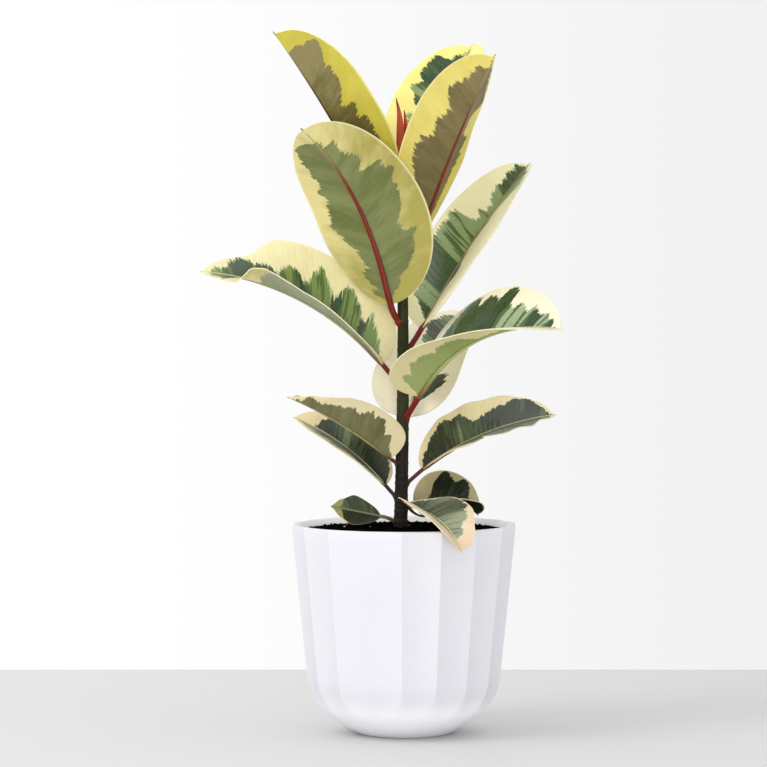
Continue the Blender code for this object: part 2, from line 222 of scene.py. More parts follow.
class Finish:
    # one material, built up node by node
    def __init__(self, name, roughness=0.5, **constants):
        self.material = bpy.data.materials.new(name)
        self.material.use_nodes = True
        self.tree = self.material.node_tree
        self.shader = self.tree.nodes["Principled BSDF"]
        self.plug("Roughness", roughness)
        for socket, value in constants.items():
            self.plug(socket.replace("_", " "), value)

    def connect(self, socket, value):
        if isinstance(value, Value):
            self.tree.links.new(value.socket, socket)
        else:
            socket.default_value = value

    def plug(self, socket, value):
        self.connect(self.shader.inputs[socket], value)

    def add(self, kind, settings=None, sockets=None, output=0):
        node = self.tree.nodes.new("ShaderNode" + kind)
        for setting, value in (settings or {}).items():
            setattr(node, setting, value)
        for socket, value in (sockets or {}).items():
            self.connect(node.inputs[socket], value)
        return Value(self, node.outputs[output])

    def mix(self, share, first, second):
        return self.add("Mix", {"data_type": "RGBA"}, {0: share, 6: first, 7: second}, 2)

    def parts(self, vector):
        split = self.add("SeparateXYZ", None, {0: vector})
        return [Value(self, part) for part in split.socket.node.outputs]

    def stored(self, name):
        return self.add("Attribute", {"attribute_name": name}, None, "Vector")

    def object(self):
        return self.add("TexCoord", None, None, "Object")

    def stretch(self, vector, *scale):
        return self.add("VectorMath", {"operation": "MULTIPLY"}, {0: vector, 1: scale})

    def shift(self, vector, *move):
        return self.add("VectorMath", {"operation": "ADD"}, {0: vector, 1: move})

    def cloud(self, vector, scale, detail=2.0, roughness=0.55):
        # noise about zero, mostly within -0.5 to 0.5
        return self.add("TexNoise", None, {
            "Vector": vector, "Scale": scale, "Detail": detail, "Roughness": roughness}) * 2 - 1

    def step(self, value, width):
        # 0 to 1 as the value passes zero, over this width
        return self.add("MapRange", {"interpolation_type": "SMOOTHSTEP"}, {
            "Value": value, "From Min": -width / 2, "From Max": width / 2})

    def bump(self, height, strength, distance):
        self.plug("Normal", self.add("Bump", None, {
            "Height": height, "Strength": strength, "Distance": distance}))


# camera, and the room it stands in

room = {
    "cameraPlace": (-0.0205, -3.15, 0.446),
    "cameraPitch": 1.763,
    "lens": 148.3,
    "sensor": 36,
    "wallBehind": 0.515,
    "floorSize": 14.0,
    "wallHeight": 6.0,
    "wallLeft": 1.02,           # how bright the wall is at its left and right
    "wallRight": 0.88,
    "wallFade": 1.1,            # metres from the one to the other
    "floorTint": (210, 210, 210),
    "floorShade": (206, 206, 206),
    "worldStrength": 0.80,
}
lights = {                      # where each stands and aims, its size and its watts
    "windowLeft": ((-2.3, -1.3, 2.4), (0, 0, 0.35), 1.8, 42),
    "frontFill": ((0.3, -3.1, 0.5), (0, 0, 0.2), 2.0, 3),
    "lowFill": ((0.2, -1.8, 0.05), (0, 0, 0.05), 0.5, 13),
    "topGlow": ((0.3, 0.1, 2.6), (0, 0, 0.35), 2.0, 14),
}


def makeCamera():
    bpy.ops.object.camera_add(
        location=room["cameraPlace"],
        rotation=(math.radians(90 - room["cameraPitch"]), 0, 0))
    camera = bpy.context.object
    camera.data.sensor_width = room["sensor"]
    camera.data.lens = room["lens"]
    bpy.context.scene.camera = camera
    bpy.context.scene.view_settings.view_transform = "Standard"


def makeFloor():
    bpy.ops.mesh.primitive_plane_add(size=room["floorSize"])
    floor = bpy.context.object
    floor.name = "floor"
    finish = Finish("pale floor", roughness=0.6)
    grain = finish.cloud(finish.object(), scale=2.5)
    finish.plug("Base Color", finish.mix(
        0.5 + grain * 0.2, tint(*room["floorTint"]), tint(*room["floorShade"])))
    floor.data.materials.append(finish.material)


def makeWall():
    # it glows, and is clear from behind so that it hides nothing from the other side
    halfHeight = room["wallHeight"] / 2
    bpy.ops.mesh.primitive_plane_add(
        size=1, location=(0, room["wallBehind"], halfHeight), rotation=(math.radians(90), 0, 0))
    wall = bpy.context.object
    wall.name = "wall"
    wall.scale = (room["floorSize"], room["wallHeight"], 1)
    bpy.ops.object.transform_apply(location=True, rotation=True, scale=True)
    finish = Finish("lit wall")
    acrossWall = finish.parts(finish.object())[0]
    toRight = finish.step(acrossWall, room["wallFade"])
    left = (room["wallLeft"],) * 3 + (1,)
    right = (room["wallRight"],) * 3 + (1,)
    glow = finish.add("Emission", None, {"Color": finish.mix(toRight, left, right)})
    clear = finish.add("BsdfTransparent")
    behind = finish.add("NewGeometry", None, None, "Backfacing")
    finish.connect(
        finish.tree.nodes["Material Output"].inputs["Surface"],
        finish.add("MixShader", None, {0: behind, 1: glow, 2: clear}))
    wall.data.materials.append(finish.material)


def makeLights():
    for name, (place, aim, size, watts) in lights.items():
        bpy.ops.object.light_add(type="AREA", location=place)
        light = bpy.context.object
        light.name = name
        light.data.size = size
        light.data.energy = watts
        light.rotation_euler = (Vector(aim) - Vector(place)).to_track_quat("-Z", "Y").to_euler()
    world = bpy.data.worlds.new("studio")
    bpy.context.scene.world = world
    world.use_nodes = True
    world.node_tree.nodes["Background"].inputs["Color"].default_value = (1, 1, 1, 1)
    world.node_tree.nodes["Background"].inputs["Strength"].default_value = room["worldStrength"]


makeCamera()
makeFloor()
makeWall()
makeLights()
print("camera, floor, wall and lights are up")


# pot

pot = {
    "height": 0.209,
    "rimRadius": 0.113,
    "shoulderHeight": 0.063,
    "shoulderRadius": 0.098,
    "baseRadius": 0.045,
    "footCurve": 2.7,
    "footEdge": 0.0006,
    "wall": 0.0125,
    "floor": 0.009,
    "floorCorner": 0.003,
    "lipRound": 0.0015,
    "lipWidth": 0.0065,         # flat this far in, then sloping down to slopeFoot
    "slopeFoot": 0.2036,
    "footRings": (0.0006, 0.0022, 29),      # first height, gap and count
    "sideRings": (0.0700, 0.0104, 13),
    "innerRings": (0.013, 0.018, 0.024, 0.033, 0.046, 0.063, 0.130),
    "innerTop": (0.198, 0.180),
    "flutes": 18,
    "fluteDepth": 0.0034,
    "fluteTurn": math.radians(-1.4),
    "fadeTop": 0.045,           # the flutes narrow to nothing between these two heights
    "fadeEnd": 0.020,
    "cornersInFlute": 16,
    "smoothBelow": 18,          # degrees, so that the flutes' ridges stay sharp
    "lipInside": 0.1075,        # within this radius and above this height the glaze is painted whiter, painted light on the shaded inside of the lip
    "lipFrom": 0.198,
    "footBelow": 0.034,         # and below this height, over this much, it is painted paler, painted light on the shaded foot
    "footOver": 0.022,
    "lipPaintedLight": (250, 250, 252),
    "footPaintedLight": (252, 251, 255),
    "glaze": (226, 226, 232),
    "glazeShade": (218, 218, 225),
    "roughness": 0.42,
}
potTaper = (pot["rimRadius"] - pot["shoulderRadius"]) / (pot["height"] - pot["shoulderHeight"])


def potRadius(height):
    # the outer radius on a ridge
    radius = pot["shoulderRadius"] + potTaper * (height - pot["shoulderHeight"])
    if height < pot["shoulderHeight"]:
        inset = pot["shoulderRadius"] - potTaper * pot["shoulderHeight"] - pot["baseRadius"]
        radius -= inset * (1 - height / pot["shoulderHeight"]) ** pot["footCurve"]
    return radius


def insideRadius(height):
    return potRadius(height) - pot["wall"]


def fluteCut(angle, height):
    turns = (angle + math.pi / 2 - pot["fluteTurn"]) * pot["flutes"] / (2 * math.pi)
    fromRidge = 2 * abs(turns - round(turns))
    hollow = pot["fluteDepth"] * (1 - (1 - fromRidge) ** 2)
    fade = pot["fluteDepth"] * (pot["fadeTop"] - height) / (pot["fadeTop"] - pot["fadeEnd"])
    return max(0, hollow - max(0, fade))


def potProfile():
    # up the outside, over the lip and down the inside to the floor
    top = pot["height"]
    outside = stepped(*pot["footRings"]) + stepped(*pot["sideRings"])
    profile = [(pot["baseRadius"] - pot["footEdge"], 0)]
    profile += [(potRadius(height), height) for height in outside]
    lip = pot["lipRound"]
    lipRadius = potRadius(top - lip) - lip
    for turn in (0, 22.5, 45, 67.5, 90):
        turn = math.radians(turn)
        profile.append((lipRadius + lip * math.cos(turn), top - lip + lip * math.sin(turn)))
    slopeTop, slopeFoot = potRadius(top) - pot["lipWidth"], pot["slopeFoot"]
    profile += [(slopeTop + 0.0008, top), (slopeTop - 0.0004, top - 0.0003)]    # the slope's ends are soft
    profile += [(insideRadius(slopeFoot) + 0.0006, slopeFoot + 0.0005)]
    inside = (slopeFoot - 0.0004, *pot["innerTop"], *reversed(pot["innerRings"]))
    profile += [(insideRadius(height), height) for height in inside]
    return profile + [(insideRadius(pot["floor"]) - pot["floorCorner"], pot["floor"])]


def glazeFinish():
    finish = Finish("white glaze", roughness=pot["roughness"], Specular_IOR_Level=0.35)
    place = finish.object()
    drift = finish.cloud(place, scale=14, detail=3)
    speckle = finish.cloud(place, scale=900, detail=1)
    shade = (0.35 + drift * 0.5 + speckle * 0.15).clamped()
    level = finish.stretch(place, 1, 1, 0)
    radius = finish.add("VectorMath", {"operation": "LENGTH"}, {0: level}, "Value")
    height = finish.parts(place)[2]
    # painted light: the inside of the lip, which lies in shade, is painted whiter
    inside = finish.step(pot["lipInside"] - radius, 0.0006) * finish.step(height - pot["lipFrom"], 0.003)
    glaze = finish.mix(shade, tint(*pot["glaze"]), tint(*pot["glazeShade"]))
    glaze = finish.mix(inside, glaze, tint(*pot["lipPaintedLight"]))
    # painted light: the foot, which faces the floor and lies in shade, is painted paler
    nearFoot = finish.step(pot["footBelow"] - height, pot["footOver"])
    finish.plug("Base Color", finish.mix(nearFoot, glaze, tint(*pot["footPaintedLight"])))
    finish.plug("Roughness", pot["roughness"] + drift * 0.10)
    ripple = finish.cloud(place, scale=160, detail=2)
    finish.bump(drift * 0.6 + ripple * 0.3 + speckle * 0.06, strength=0.25, distance=0.0006)
    return finish.material


def makePot():
    sides = pot["flutes"] * pot["cornersInFlute"]
    piece = turnedPiece("flutedPot", potProfile(), sides)
    start = pot["fluteTurn"] - math.pi / 2
    for corner in piece.data.vertices:
        x, y, height = corner.co
        radius = math.hypot(x, y)
        angle = math.atan2(y, x)
        nearest = round((angle - start) * sides / (2 * math.pi))
        angle = start + nearest * 2 * math.pi / sides   # a corner on each ridge
        if height > 0 and radius > potRadius(height) - 1.5 * pot["lipRound"]:
            radius -= fluteCut(angle, height)
        corner.co.x = radius * math.cos(angle)
        corner.co.y = radius * math.sin(angle)
    smooth(piece, pot["smoothBelow"])
    piece.data.materials.append(glazeFinish())
    hand(piece, "pot")


makePot()
print("pot is made")


# soil

soil = {
    "edge": 0.2030,
    "crown": 0.2060,
    "mound": ((0.045, 0.2056), (0.085, 0.2042)),    # heights at these radii
    "gap": 0.0003,
    "rings": 44,
    "ringGap": 0.0022,
    "sides": 168,
    "roughness": 0.0011,
    "clods": 90,                # how fine the clods and the grit are
    "grit": 260,
    "rimFade": 0.004,           # metres from the edge over which the bed gets its full roughness
    "clearOfStem": 0.010,
    "earthDark": (5, 4, 4),
    "earthLight": (20, 15, 13),
    "fibre": (60, 48, 40),
    "perliteLight": (212, 208, 200),
    "perliteDark": (150, 144, 134),
    "crumbs": 850,
    "crumbSize": (0.0006, 0.0016),
    "crumbKinds": 5,
    "perlite": 14,
    "perliteSize": (0.0006, 0.0014),
    "perliteKinds": 3,
    "dent": 0.55,               # how far a lump is pushed in or out, and how flat it is
    "dentGrain": 700,
    "flat": 0.75,
}


def soilHeight(radius):
    edge = insideRadius(soil["edge"])
    return along([(0, soil["crown"]), *soil["mound"], (edge, soil["edge"])], radius)[0]


def crumb(name, kind, material):
    # one small lump, angular and a little flat
    bpy.ops.mesh.primitive_ico_sphere_add(subdivisions=1, radius=1)
    lump = bpy.context.object
    lump.name = name
    for corner in lump.data.vertices:
        push = noise.noise(corner.co * soil["dentGrain"] + Vector((kind * 7.3, 0, 0)))
        corner.co *= 1 + soil["dent"] * push
        corner.co.z *= soil["flat"]
    lump.data.materials.append(material)
    return lump


def earthFinish():
    finish = Finish("potting soil", roughness=0.95, Specular_IOR_Level=0.0)
    place = finish.object()
    clods = finish.cloud(place, scale=210, detail=4)
    fibre = finish.cloud(finish.stretch(place, 1, 0.3, 1), scale=900, detail=2)
    dark = finish.mix((0.5 + clods).clamped(), tint(*soil["earthDark"]), tint(*soil["earthLight"]))
    finish.plug("Base Color", finish.mix((fibre * 2 - 0.8).clamped(), dark, tint(*soil["fibre"])))
    finish.bump(clods + fibre * 0.4, strength=0.9, distance=0.0012)
    return finish.material


def perliteFinish():
    finish = Finish("perlite", roughness=0.85)
    shade = (0.5 + finish.cloud(finish.object(), scale=1500, detail=2)).clamped()
    finish.plug("Base Color", finish.mix(
        shade, tint(*soil["perliteLight"]), tint(*soil["perliteDark"])))
    return finish.material


def makeBed(edge):
    gap = soil["gap"]
    profile = [(insideRadius(pot["floor"]) - pot["floorCorner"] - gap, pot["floor"] + gap)]
    profile += [(insideRadius(height) - gap, height) for height in pot["innerRings"]]
    profile += [(edge, soil["edge"])]
    radii = [edge - soil["ringGap"] * step for step in range(1, soil["rings"] + 1)]
    profile += [(radius, soilHeight(radius)) for radius in radii]
    bed = turnedPiece("soilBed", profile, soil["sides"])
    for corner in bed.data.vertices:
        if corner.co.z > soil["edge"] - 0.0001:
            lift = noise.noise(corner.co * soil["clods"]) + 0.7 * noise.noise(corner.co * soil["grit"])
            rim = min(1, (edge - math.hypot(corner.co.x, corner.co.y)) / soil["rimFade"])
            corner.co.z += soil["roughness"] * lift * (0.4 + 0.6 * rim)
    return bed


def scatter(shapes, count, sizes, edge):
    # copies of the shapes on the bed, between the stem and the edge
    scattered = []
    for index in range(count):
        size = between(*sizes, random.random() ** 2)
        radius = math.sqrt(random.uniform(soil["clearOfStem"] ** 2, (edge - size * 1.4) ** 2))
        angle = random.uniform(0, 2 * math.pi)
        lump = shapes[index % len(shapes)].copy()
        lump.data = lump.data.copy()
        lump.scale = (size * random.uniform(0.8, 1.3), size, size)
        lump.rotation_euler = (
            random.uniform(-0.5, 0.5), random.uniform(-0.5, 0.5), random.uniform(0, 6.28))
        lump.location = (
            radius * math.cos(angle), radius * math.sin(angle),
            soilHeight(radius) + size * random.uniform(0.05, 0.5))
        bpy.context.scene.collection.objects.link(lump)
        scattered.append(lump)
    return scattered


def makeSoil():
    edge = insideRadius(soil["edge"]) - soil["gap"]
    bed = makeBed(edge)
    earth, perlite = earthFinish(), perliteFinish()
    bed.data.materials.append(earth)
    lumps = [crumb("crumb", kind, earth) for kind in range(soil["crumbKinds"])]
    grains = [crumb("grain", 9 + kind, perlite) for kind in range(soil["perliteKinds"])]
    scattered = scatter(lumps, soil["crumbs"], soil["crumbSize"], edge)
    scattered += scatter(grains, soil["perlite"], soil["perliteSize"], edge)
    for lump in lumps + grains:
        bpy.data.objects.remove(lump)
    joined(bed, *scattered)
    smooth(bed, 35)
    hand(bed, "potting_soil")


makeSoil()
print("soil is filled in")


# leaves: what each one is like. Lengths are metres and angles degrees. node is the height on the
# stem and azimuth the way the leaf points; leave and land are the petiole's pitch, rise the
# blade's at its base and droop what it loses to the tip. fold is how steeply the halves rise from
# the midrib and cup what they lose to the margin; full rounds the outline, and skew moves its
# widest place. fold and wide give rows of (share of the length, left half, right half). green
# gives, for the left and right halves, rows in percent: (share of the length, how far the green
# reaches to the margin, how dark it is).

# in each style, streak is the pale colour of painted sheen, a gloss highlight laid in streak marks near
# the green's edge
leafStyles = {
    "young": {
        "cream": (248, 240, 158), "creamDeep": (234, 220, 108), "creamUnder": (218, 202, 104),
        "creamUnderDeep": (206, 188, 84), "dark": (30, 52, 22), "middle": (66, 88, 50),
        "pale": (150, 164, 118), "underDark": (94, 88, 40), "underPale": (124, 116, 70),
        "streak": (184, 192, 156), "rim": (240, 232, 170)},
    "grown": {
        "cream": (240, 231, 182), "creamDeep": (226, 214, 156), "creamUnder": (226, 216, 148),
        "creamUnderDeep": (196, 184, 106), "dark": (44, 68, 36), "middle": (88, 110, 64),
        "pale": (146, 162, 110), "underDark": (108, 118, 64), "underPale": (134, 142, 88),
        "streak": (206, 212, 178), "rim": (238, 232, 190)},
    "old": {
        "cream": (236, 220, 176), "creamDeep": (222, 198, 150), "creamUnder": (234, 214, 168),
        "creamUnderDeep": (212, 192, 140), "dark": (40, 48, 32), "middle": (72, 84, 60),
        "pale": (116, 128, 98), "underDark": (104, 102, 64), "underPale": (132, 130, 90),
        "streak": (168, 176, 148), "rim": (230, 218, 178)},
}
# teeth is how far the green's teeth reach, uneven scales how ragged its edge is, and halo is how
# wide a pale band lies round it, in millimetres; a lower streaks gives more streak marks of painted
# sheen near the green's edge; baseDeep deepens the underside's cream toward the base, and sideShade
# is painted shade that deepens it toward one half's margin; redTo is where along the midrib the red
# fades
leafLook = {
    "teeth": 13, "uneven": 1, "halo": -3, "sheenStreaks": 0.75, "baseDeep": 0, "sideShade": 0, "redTo": 0.5,
    "redDark": (92, 16, 10), "redPale": (140, 36, 22), "ribOver": (206, 200, 150),
    "stalk": (190, 176, 120)}
leafUsual = {
    "droop": 0, "bend": 1, "turn": 0, "roll": 0, "cup": (15, 15), "wide": ((0, 1, 1),), "full": 2.15,
    "skew": 1, "thick": 0.0009, "stalk": 0.0018, "ripple": 0.0006, "ripples": 2.4, "look": {}}
leaves = {
    "leaf_top_left": {
        "node": 0.503, "azimuth": -160, "leave": 50, "petiole": 0.022, "stalk": 0.002, "rise": 59,
        "length": 0.21, "width": 0.131, "droop": 8, "bend": 2, "skew": 1.12, "cup": (20, 20),
        "fold": ((0, 38, 38),), "style": "young",
        "look": {
            "redTo": 0.85, "redDark": (84, 24, 16), "redPale": (116, 40, 26),
            "creamUnder": (210, 198, 78), "creamUnderDeep": (190, 176, 58),
            "underPale": (142, 131, 86), "underDark": (102, 93, 44)},
        "green": (
            ((0, 10, 50), (10, 45, 50), (30, 62, 60), (40, 66, 90), (46, 60, 90), (46.5, 46, 90),
             (50, 50, 80), (53.5, 58, 70), (54, 30, 60), (58, 42, 70), (65, 54, 70), (70, 52, 60),
             (73, 60, 40), (76, 50, 40), (80, 62, 20), (84, 80, 10), (86, 86, 0), (87.5, 86, 0),
             (88, 60, 0), (88.5, 20, 10), (89, -30, 20)),
            ((0, 10, 50), (10, 40, 50), (40, 50, 60), (70, 50, 50), (84, 40, 30), (92, -30, 20)))},
    "leaf_top_back": {
        "node": 0.518, "azimuth": 48, "leave": 55, "petiole": 0.02, "stalk": 0.002, "rise": 67,
        "length": 0.184, "width": 0.116, "droop": 20, "bend": 1.5, "cup": (20, 20),
        "fold": ((0, 25, 25),), "style": "young",
        "look": {
            "creamUnder": (236, 224, 130), "sheenStreaks": 0.8, "halo": -1.5, "dark": (28, 58, 12),
            "middle": (54, 84, 22), "pale": (132, 152, 84), "cream": (244, 234, 142)},
        "green": (
            ((0, 10, 30), (20, 40, 40), (36, 42, 80), (39.5, 48, 90), (40, 55, 5), (49, 56, 5),
             (49.5, 30, 80), (55, 50, 80), (60, 50, 50), (64, 74, 10), (67, 72, 10), (69, 50, 60),
             (72, 72, 90), (80, 76, 100), (86, 84, 110), (88, 78, 110), (86, 30, 90), (90, 30, 80),
             (92, 10, 40), (98, -30, 30)),
            ((0, 10, 30), (20, 40, 50), (60, 50, 70), (81, 30, 10), (86, 40, 10), (95, 25, 10),
             (97, -20, 10)))},
    "leaf_top_right": {
        "node": 0.463, "azimuth": -45, "leave": 50, "petiole": 0.026, "stalk": 0.0023, "rise": 65,
        "length": 0.214, "width": 0.102, "droop": 10, "skew": 1.1, "cup": (24, 15),
        "fold": ((0, 38, 24), (1, 42, 58)),
        "wide": ((0, 1.45, 1), (0.35, 1.2, 1), (0.6, 0.98, 1), (1, 0.9, 1)), "style": "young",
        "look": {
            "creamUnder": (230, 214, 116), "creamUnderDeep": (212, 196, 96),
            "underPale": (126, 114, 70), "underDark": (102, 90, 50), "redTo": 0.8},
        "green": (
            ((0, 20, 50), (10, 50, 50), (25, 66, 50), (50, 78, 50), (56, 50, 50), (64, 60, 50),
             (68, 95, 40), (88, 95, 40), (94, 50, 40), (97, -10, 40)),
            ((0, 10, 50), (20, 40, 50), (33, 56, 60), (40, 68, 70), (46, 76, 70), (52, 66, 70),
             (52.5, 50, 70), (58, 50, 40), (63, 56, 40), (63.5, 42, 40), (69, 40, 50), (73, 52, 60),
             (82, 50, 40), (85, 36, 30), (92, 42, 30), (93, -20, 30)))},
    "leaf_front_large": {
        "node": 0.411, "azimuth": -140, "leave": 44, "petiole": 0.02, "stalk": 0.0032, "rise": 74,
        "length": 0.203, "width": 0.128, "droop": 34, "bend": 1.4, "turn": -20, "roll": 35,
        "full": 2.3, "skew": 1.08, "cup": (10, 16), "fold": ((0, 8, 26),),
        "wide": ((0, 1.06, 1), (0.5, 1.06, 1), (1, 1, 1.12)), "style": "grown",
        "look": {
            "redTo": 0.78, "creamUnder": (226, 213, 146), "creamUnderDeep": (172, 162, 82),
            # on this leaf sideShade paints shade over the underside's cream toward one margin, where the
            # blade curls away
            "baseDeep": 0.75, "sideShade": 0.46, "underPale": (130, 136, 86),
            "underDark": (104, 112, 60)},
        "green": (
            ((0, 2, 60), (6, 22, 60), (9, 36, 60), (13, 38, 50), (16, 50, 60), (20, 62, 60),
             (30, 66, 60), (34.5, 82, 50), (35.5, 76, 40), (33, 56, 40), (39, 46, 30), (44, 60, 40),
             (52, 68, 50), (60, 74, 70), (62, 86, 70), (65, 72, 70), (68, 74, 50), (67, 46, 60),
             (66, 22, 60), (70, 40, 30), (74, 50, 20), (77, 30, 40), (79, 26, 30), (86, 36, 20),
             (84, 10, 40), (90, 4, 40), (91, -20, 50)),
            ((0, 5, 30), (3, 40, 40), (6, 54, 40), (7.5, 34, 40), (12, 46, 40), (18, 46, 40),
             (20, 36, 30), (25, 44, 30), (32, 52, 30), (37, 64, 40), (44, 76, 50), (47, 72, 90),
             (52, 70, 100), (56, 62, 40), (60, 62, 10), (64, 74, 20), (64.5, 58, 50), (70, 62, 70),
             (76, 68, 40), (80, 72, 80), (86, 82, 70), (90, 88, 60), (91.5, 82, 50), (90.5, -10, 50)))},
    "leaf_right_upper": {
        "node": 0.383, "azimuth": 30, "leave": 50, "petiole": 0.026, "stalk": 0.0028, "rise": 57,
        "length": 0.212, "width": 0.108, "droop": 11, "bend": 1.4, "fold": ((0, 36, 22),),
        "wide": ((0, 0.95, 1.08),), "style": "grown",
        "look": {
            "redTo": 0.3, "ribOver": (176, 142, 112), "cream": (251, 246, 202),
            "creamDeep": (245, 237, 186), "dark": (62, 86, 48), "middle": (80, 104, 62),
            "pale": (146, 166, 114), "sheenStreaks": 0.5, "stalk": (170, 130, 100)},
        "green": (
            ((0, -10, 50), (5, 10, 90), (9, 42, 100), (13, 68, 100), (14, 66, 90), (14.5, 74, 10),
             (20, 74, 10), (24, 76, 20), (28, 72, 90), (34, 80, 100), (41, 86, 100), (45, 92, 90),
             (45.5, 88, 30), (53, 86, 30), (60, 86, 20), (63, 82, 30), (60, 40, 20), (62, 24, 20),
             (66, 34, 30), (67, 14, 30), (73, 24, 20), (80, 36, 20), (84, 34, 100), (88, 46, 110),
             (92, 54, 110), (96, 56, 100), (98, 20, 90), (100, -20, 50)),
            ((0, 2, 30), (18, 12, 40), (26, 30, 60), (30, 36, 70), (40, 20, 50), (48, 6, 40),
             (58, 26, 70), (66, 26, 10), (74, 60, 10), (80, 90, 10), (90, 90, 20), (97, 30, 40),
             (100, -20, 30)))},
    "leaf_left_long": {
        "node": 0.351, "azimuth": 180, "leave": 50, "petiole": 0.022, "stalk": 0.0025, "rise": 50,
        "length": 0.21, "width": 0.112, "droop": 46, "roll": -30, "skew": 0.92,
        "fold": ((0, 40, 60), (0.5, 47, 34), (0.7, 55, 24), (0.76, 51, 22), (0.81, 28, 20), (1, 22, 8)),
        "wide": ((0, 1, 1), (0.4, 1, 1.06), (0.71, 1, 1.26), (0.81, 1, 0.74), (1, 1, 0.7)),
        "style": "grown",
        "look": {
            "redTo": 0.1, "underDark": (132, 140, 100), "underPale": (154, 160, 126), "sheenStreaks": 0.45,
            "halo": -1, "cream": (236, 226, 176), "creamDeep": (222, 210, 152),
            "middle": (78, 100, 46), "pale": (118, 138, 68), "stalk": (196, 188, 140)},
        "green": (
            ((0, 20, 30), (10, 60, 30), (30, 85, 40), (60, 95, 40), (68, 90, 40), (71, 40, 40),
             (73, -20, 40), (79, -20, 100), (81, 95, 100), (88, 90, 90), (94, 70, 20), (97, -20, 20)),
            ((0, 2, 30), (4, 10, 20), (10, 40, 20), (15, 52, 20), (19, 50, 20), (20, 36, 100),
             (22, 34, 100), (23, 42, 20), (28, 58, 30), (32, 68, 30), (35, 66, 30), (36, 34, 100),
             (38.5, 34, 90), (39, 40, 10), (44, 56, 10), (49, 78, 30), (50, 50, 10), (53, 40, 100),
             (58, 46, 50), (62, 50, 10), (64, 34, 60), (68, 38, 100), (74, 42, 100), (78, 56, 100),
             (82, 90, 100), (88, 100, 100), (90, 40, 60), (94, 60, 20), (95, 40, 20), (96, -20, 40)))},
    "leaf_right_long": {
        "node": 0.317, "azimuth": -48, "leave": 45, "petiole": 0.026, "stalk": 0.0029, "rise": 52,
        "length": 0.194, "width": 0.124, "droop": 61, "turn": 20, "skew": 0.78,
        "fold": ((0, 60, 22), (1, 52, 0)),
        "wide": ((0, 1.08, 1), (0.3, 1.08, 0.97), (0.6, 1.08, 0.86), (0.8, 1.02, 0.9), (1, 0.8, 1)),
        "style": "grown",
        "look": {
            "redTo": 0.08, "creamUnder": (236, 225, 176), "creamUnderDeep": (220, 207, 148),
            "underDark": (146, 160, 90), "underPale": (164, 176, 112), "cream": (240, 233, 206),
            "creamDeep": (232, 222, 188), "sheenStreaks": 0.7, "halo": -1.5, "dark": (38, 66, 32),
            "middle": (80, 104, 60), "pale": (156, 172, 136), "stalk": (188, 184, 130)},
        "green": (
            ((0, 10, 90), (10, 50, 90), (26, 76, 90), (33, 86, 90), (38, 97, 50), (45, 98, 90),
             (48, 96, 100), (46, 70, 100), (50, 80, 100), (55, 90, 100), (57, 80, 100), (60, 76, 100),
             (63, 96, 100), (69, 98, 100), (68, 80, 90), (66, 60, 70), (70, 50, 20), (72, 64, 90),
             (75, 58, 10), (78, 44, 60), (81, 66, 20), (83, 50, 90), (86, 44, 90), (88, 50, 30),
             (90, 66, 70), (91, 40, 40), (94, 56, 100), (94, 10, 100), (98, -20, 30)),
            ((0, 10, 20), (4, 30, 20), (7, 50, 20), (10, 64, 20), (12, 60, 20), (14, 46, 20),
             (20, 64, 20), (25, 58, 30), (30, 50, 40), (31, 36, 40), (36, 50, 80), (43, 54, 80),
             (48, 40, 70), (52, 10, 40), (62, 10, 30), (70, 24, 30), (80, 50, 40), (94, 30, 40),
             (98, -20, 30)))},
    "leaf_behind_stem": {
        "node": 0.304, "azimuth": 67, "leave": 40, "petiole": 0.014, "stalk": 0.002, "rise": 64,
        "length": 0.15, "width": 0.094, "droop": 36, "turn": -20, "skew": 0.8, "cup": (10, 10),
        "fold": ((0, 15, 15),), "wide": ((0, 1.06, 1.1),), "style": "grown",
        "look": {
            "pale": (122, 136, 84), "dark": (50, 56, 32), "cream": (248, 241, 217),
            "creamDeep": (244, 233, 200)},
        "green": (
            ((0, -30, 50), (40, -20, 50), (55, 10, 40), (62, 30, 40), (70, 40, 90), (80, 60, 90),
             (90, 50, 30), (95, -20, 40)),
            ((0, -10, 90), (12, 30, 100), (16, 50, 100), (20, 62, 100), (28, 72, 100), (31, 68, 100),
             (30, 30, 90), (33, 10, 90), (50, 10, 30), (62, 20, 30), (70, 40, 30), (85, 50, 30),
             (95, -20, 40)))},
    "leaf_left_middle": {
        "node": 0.27, "azimuth": -152, "leave": 35, "petiole": 0.007, "stalk": 0.0019, "rise": 37,
        "length": 0.132, "width": 0.096, "droop": 16, "skew": 0.75,
        "fold": ((0, 54, 30), (1, 34, 30)),
        "wide": ((0, 0.88, 1), (0.6, 0.88, 1), (0.85, 0.56, 0.7), (1, 0.14, 0.14)), "style": "old",
        "look": {
            "redTo": 0.1, "redDark": (70, 26, 22), "redPale": (110, 50, 42),
            "creamUnder": (250, 237, 192), "creamUnderDeep": (240, 226, 178)},
        "green": (
            ((0, 2, 30), (10, 35, 30), (14, 52, 30), (18, 38, 30), (28, 76, 50), (36, 74, 50),
             (42, 90, 50), (47, 62, 60), (56, 62, 30), (62, 50, 40), (70, 50, 50), (76, 54, 40),
             (81, 58, 50), (85, 98, 50), (88, 90, 40), (88.5, 40, 30), (93, 30, 20), (96, -20, 30)),
            ((0, 10, 60), (20, 60, 80), (50, 70, 80), (80, 50, 60), (95, -10, 40)))},
    "leaf_left_lower": {
        "node": 0.237, "azimuth": 165, "leave": 45, "petiole": 0.014, "stalk": 0.0019, "rise": 49,
        "length": 0.118, "width": 0.077, "droop": 28,
        "fold": ((0, 12, 40), (0.4, 12, 40), (1, 2, 40)),
        "wide": ((0, 1, 1), (0.65, 1, 1), (1, 0.5, 0.8)), "style": "old",
        "look": {
            "redTo": 0.3, "redDark": (40, 24, 18), "redPale": (70, 36, 28), "uneven": 0.6},
        "green": (
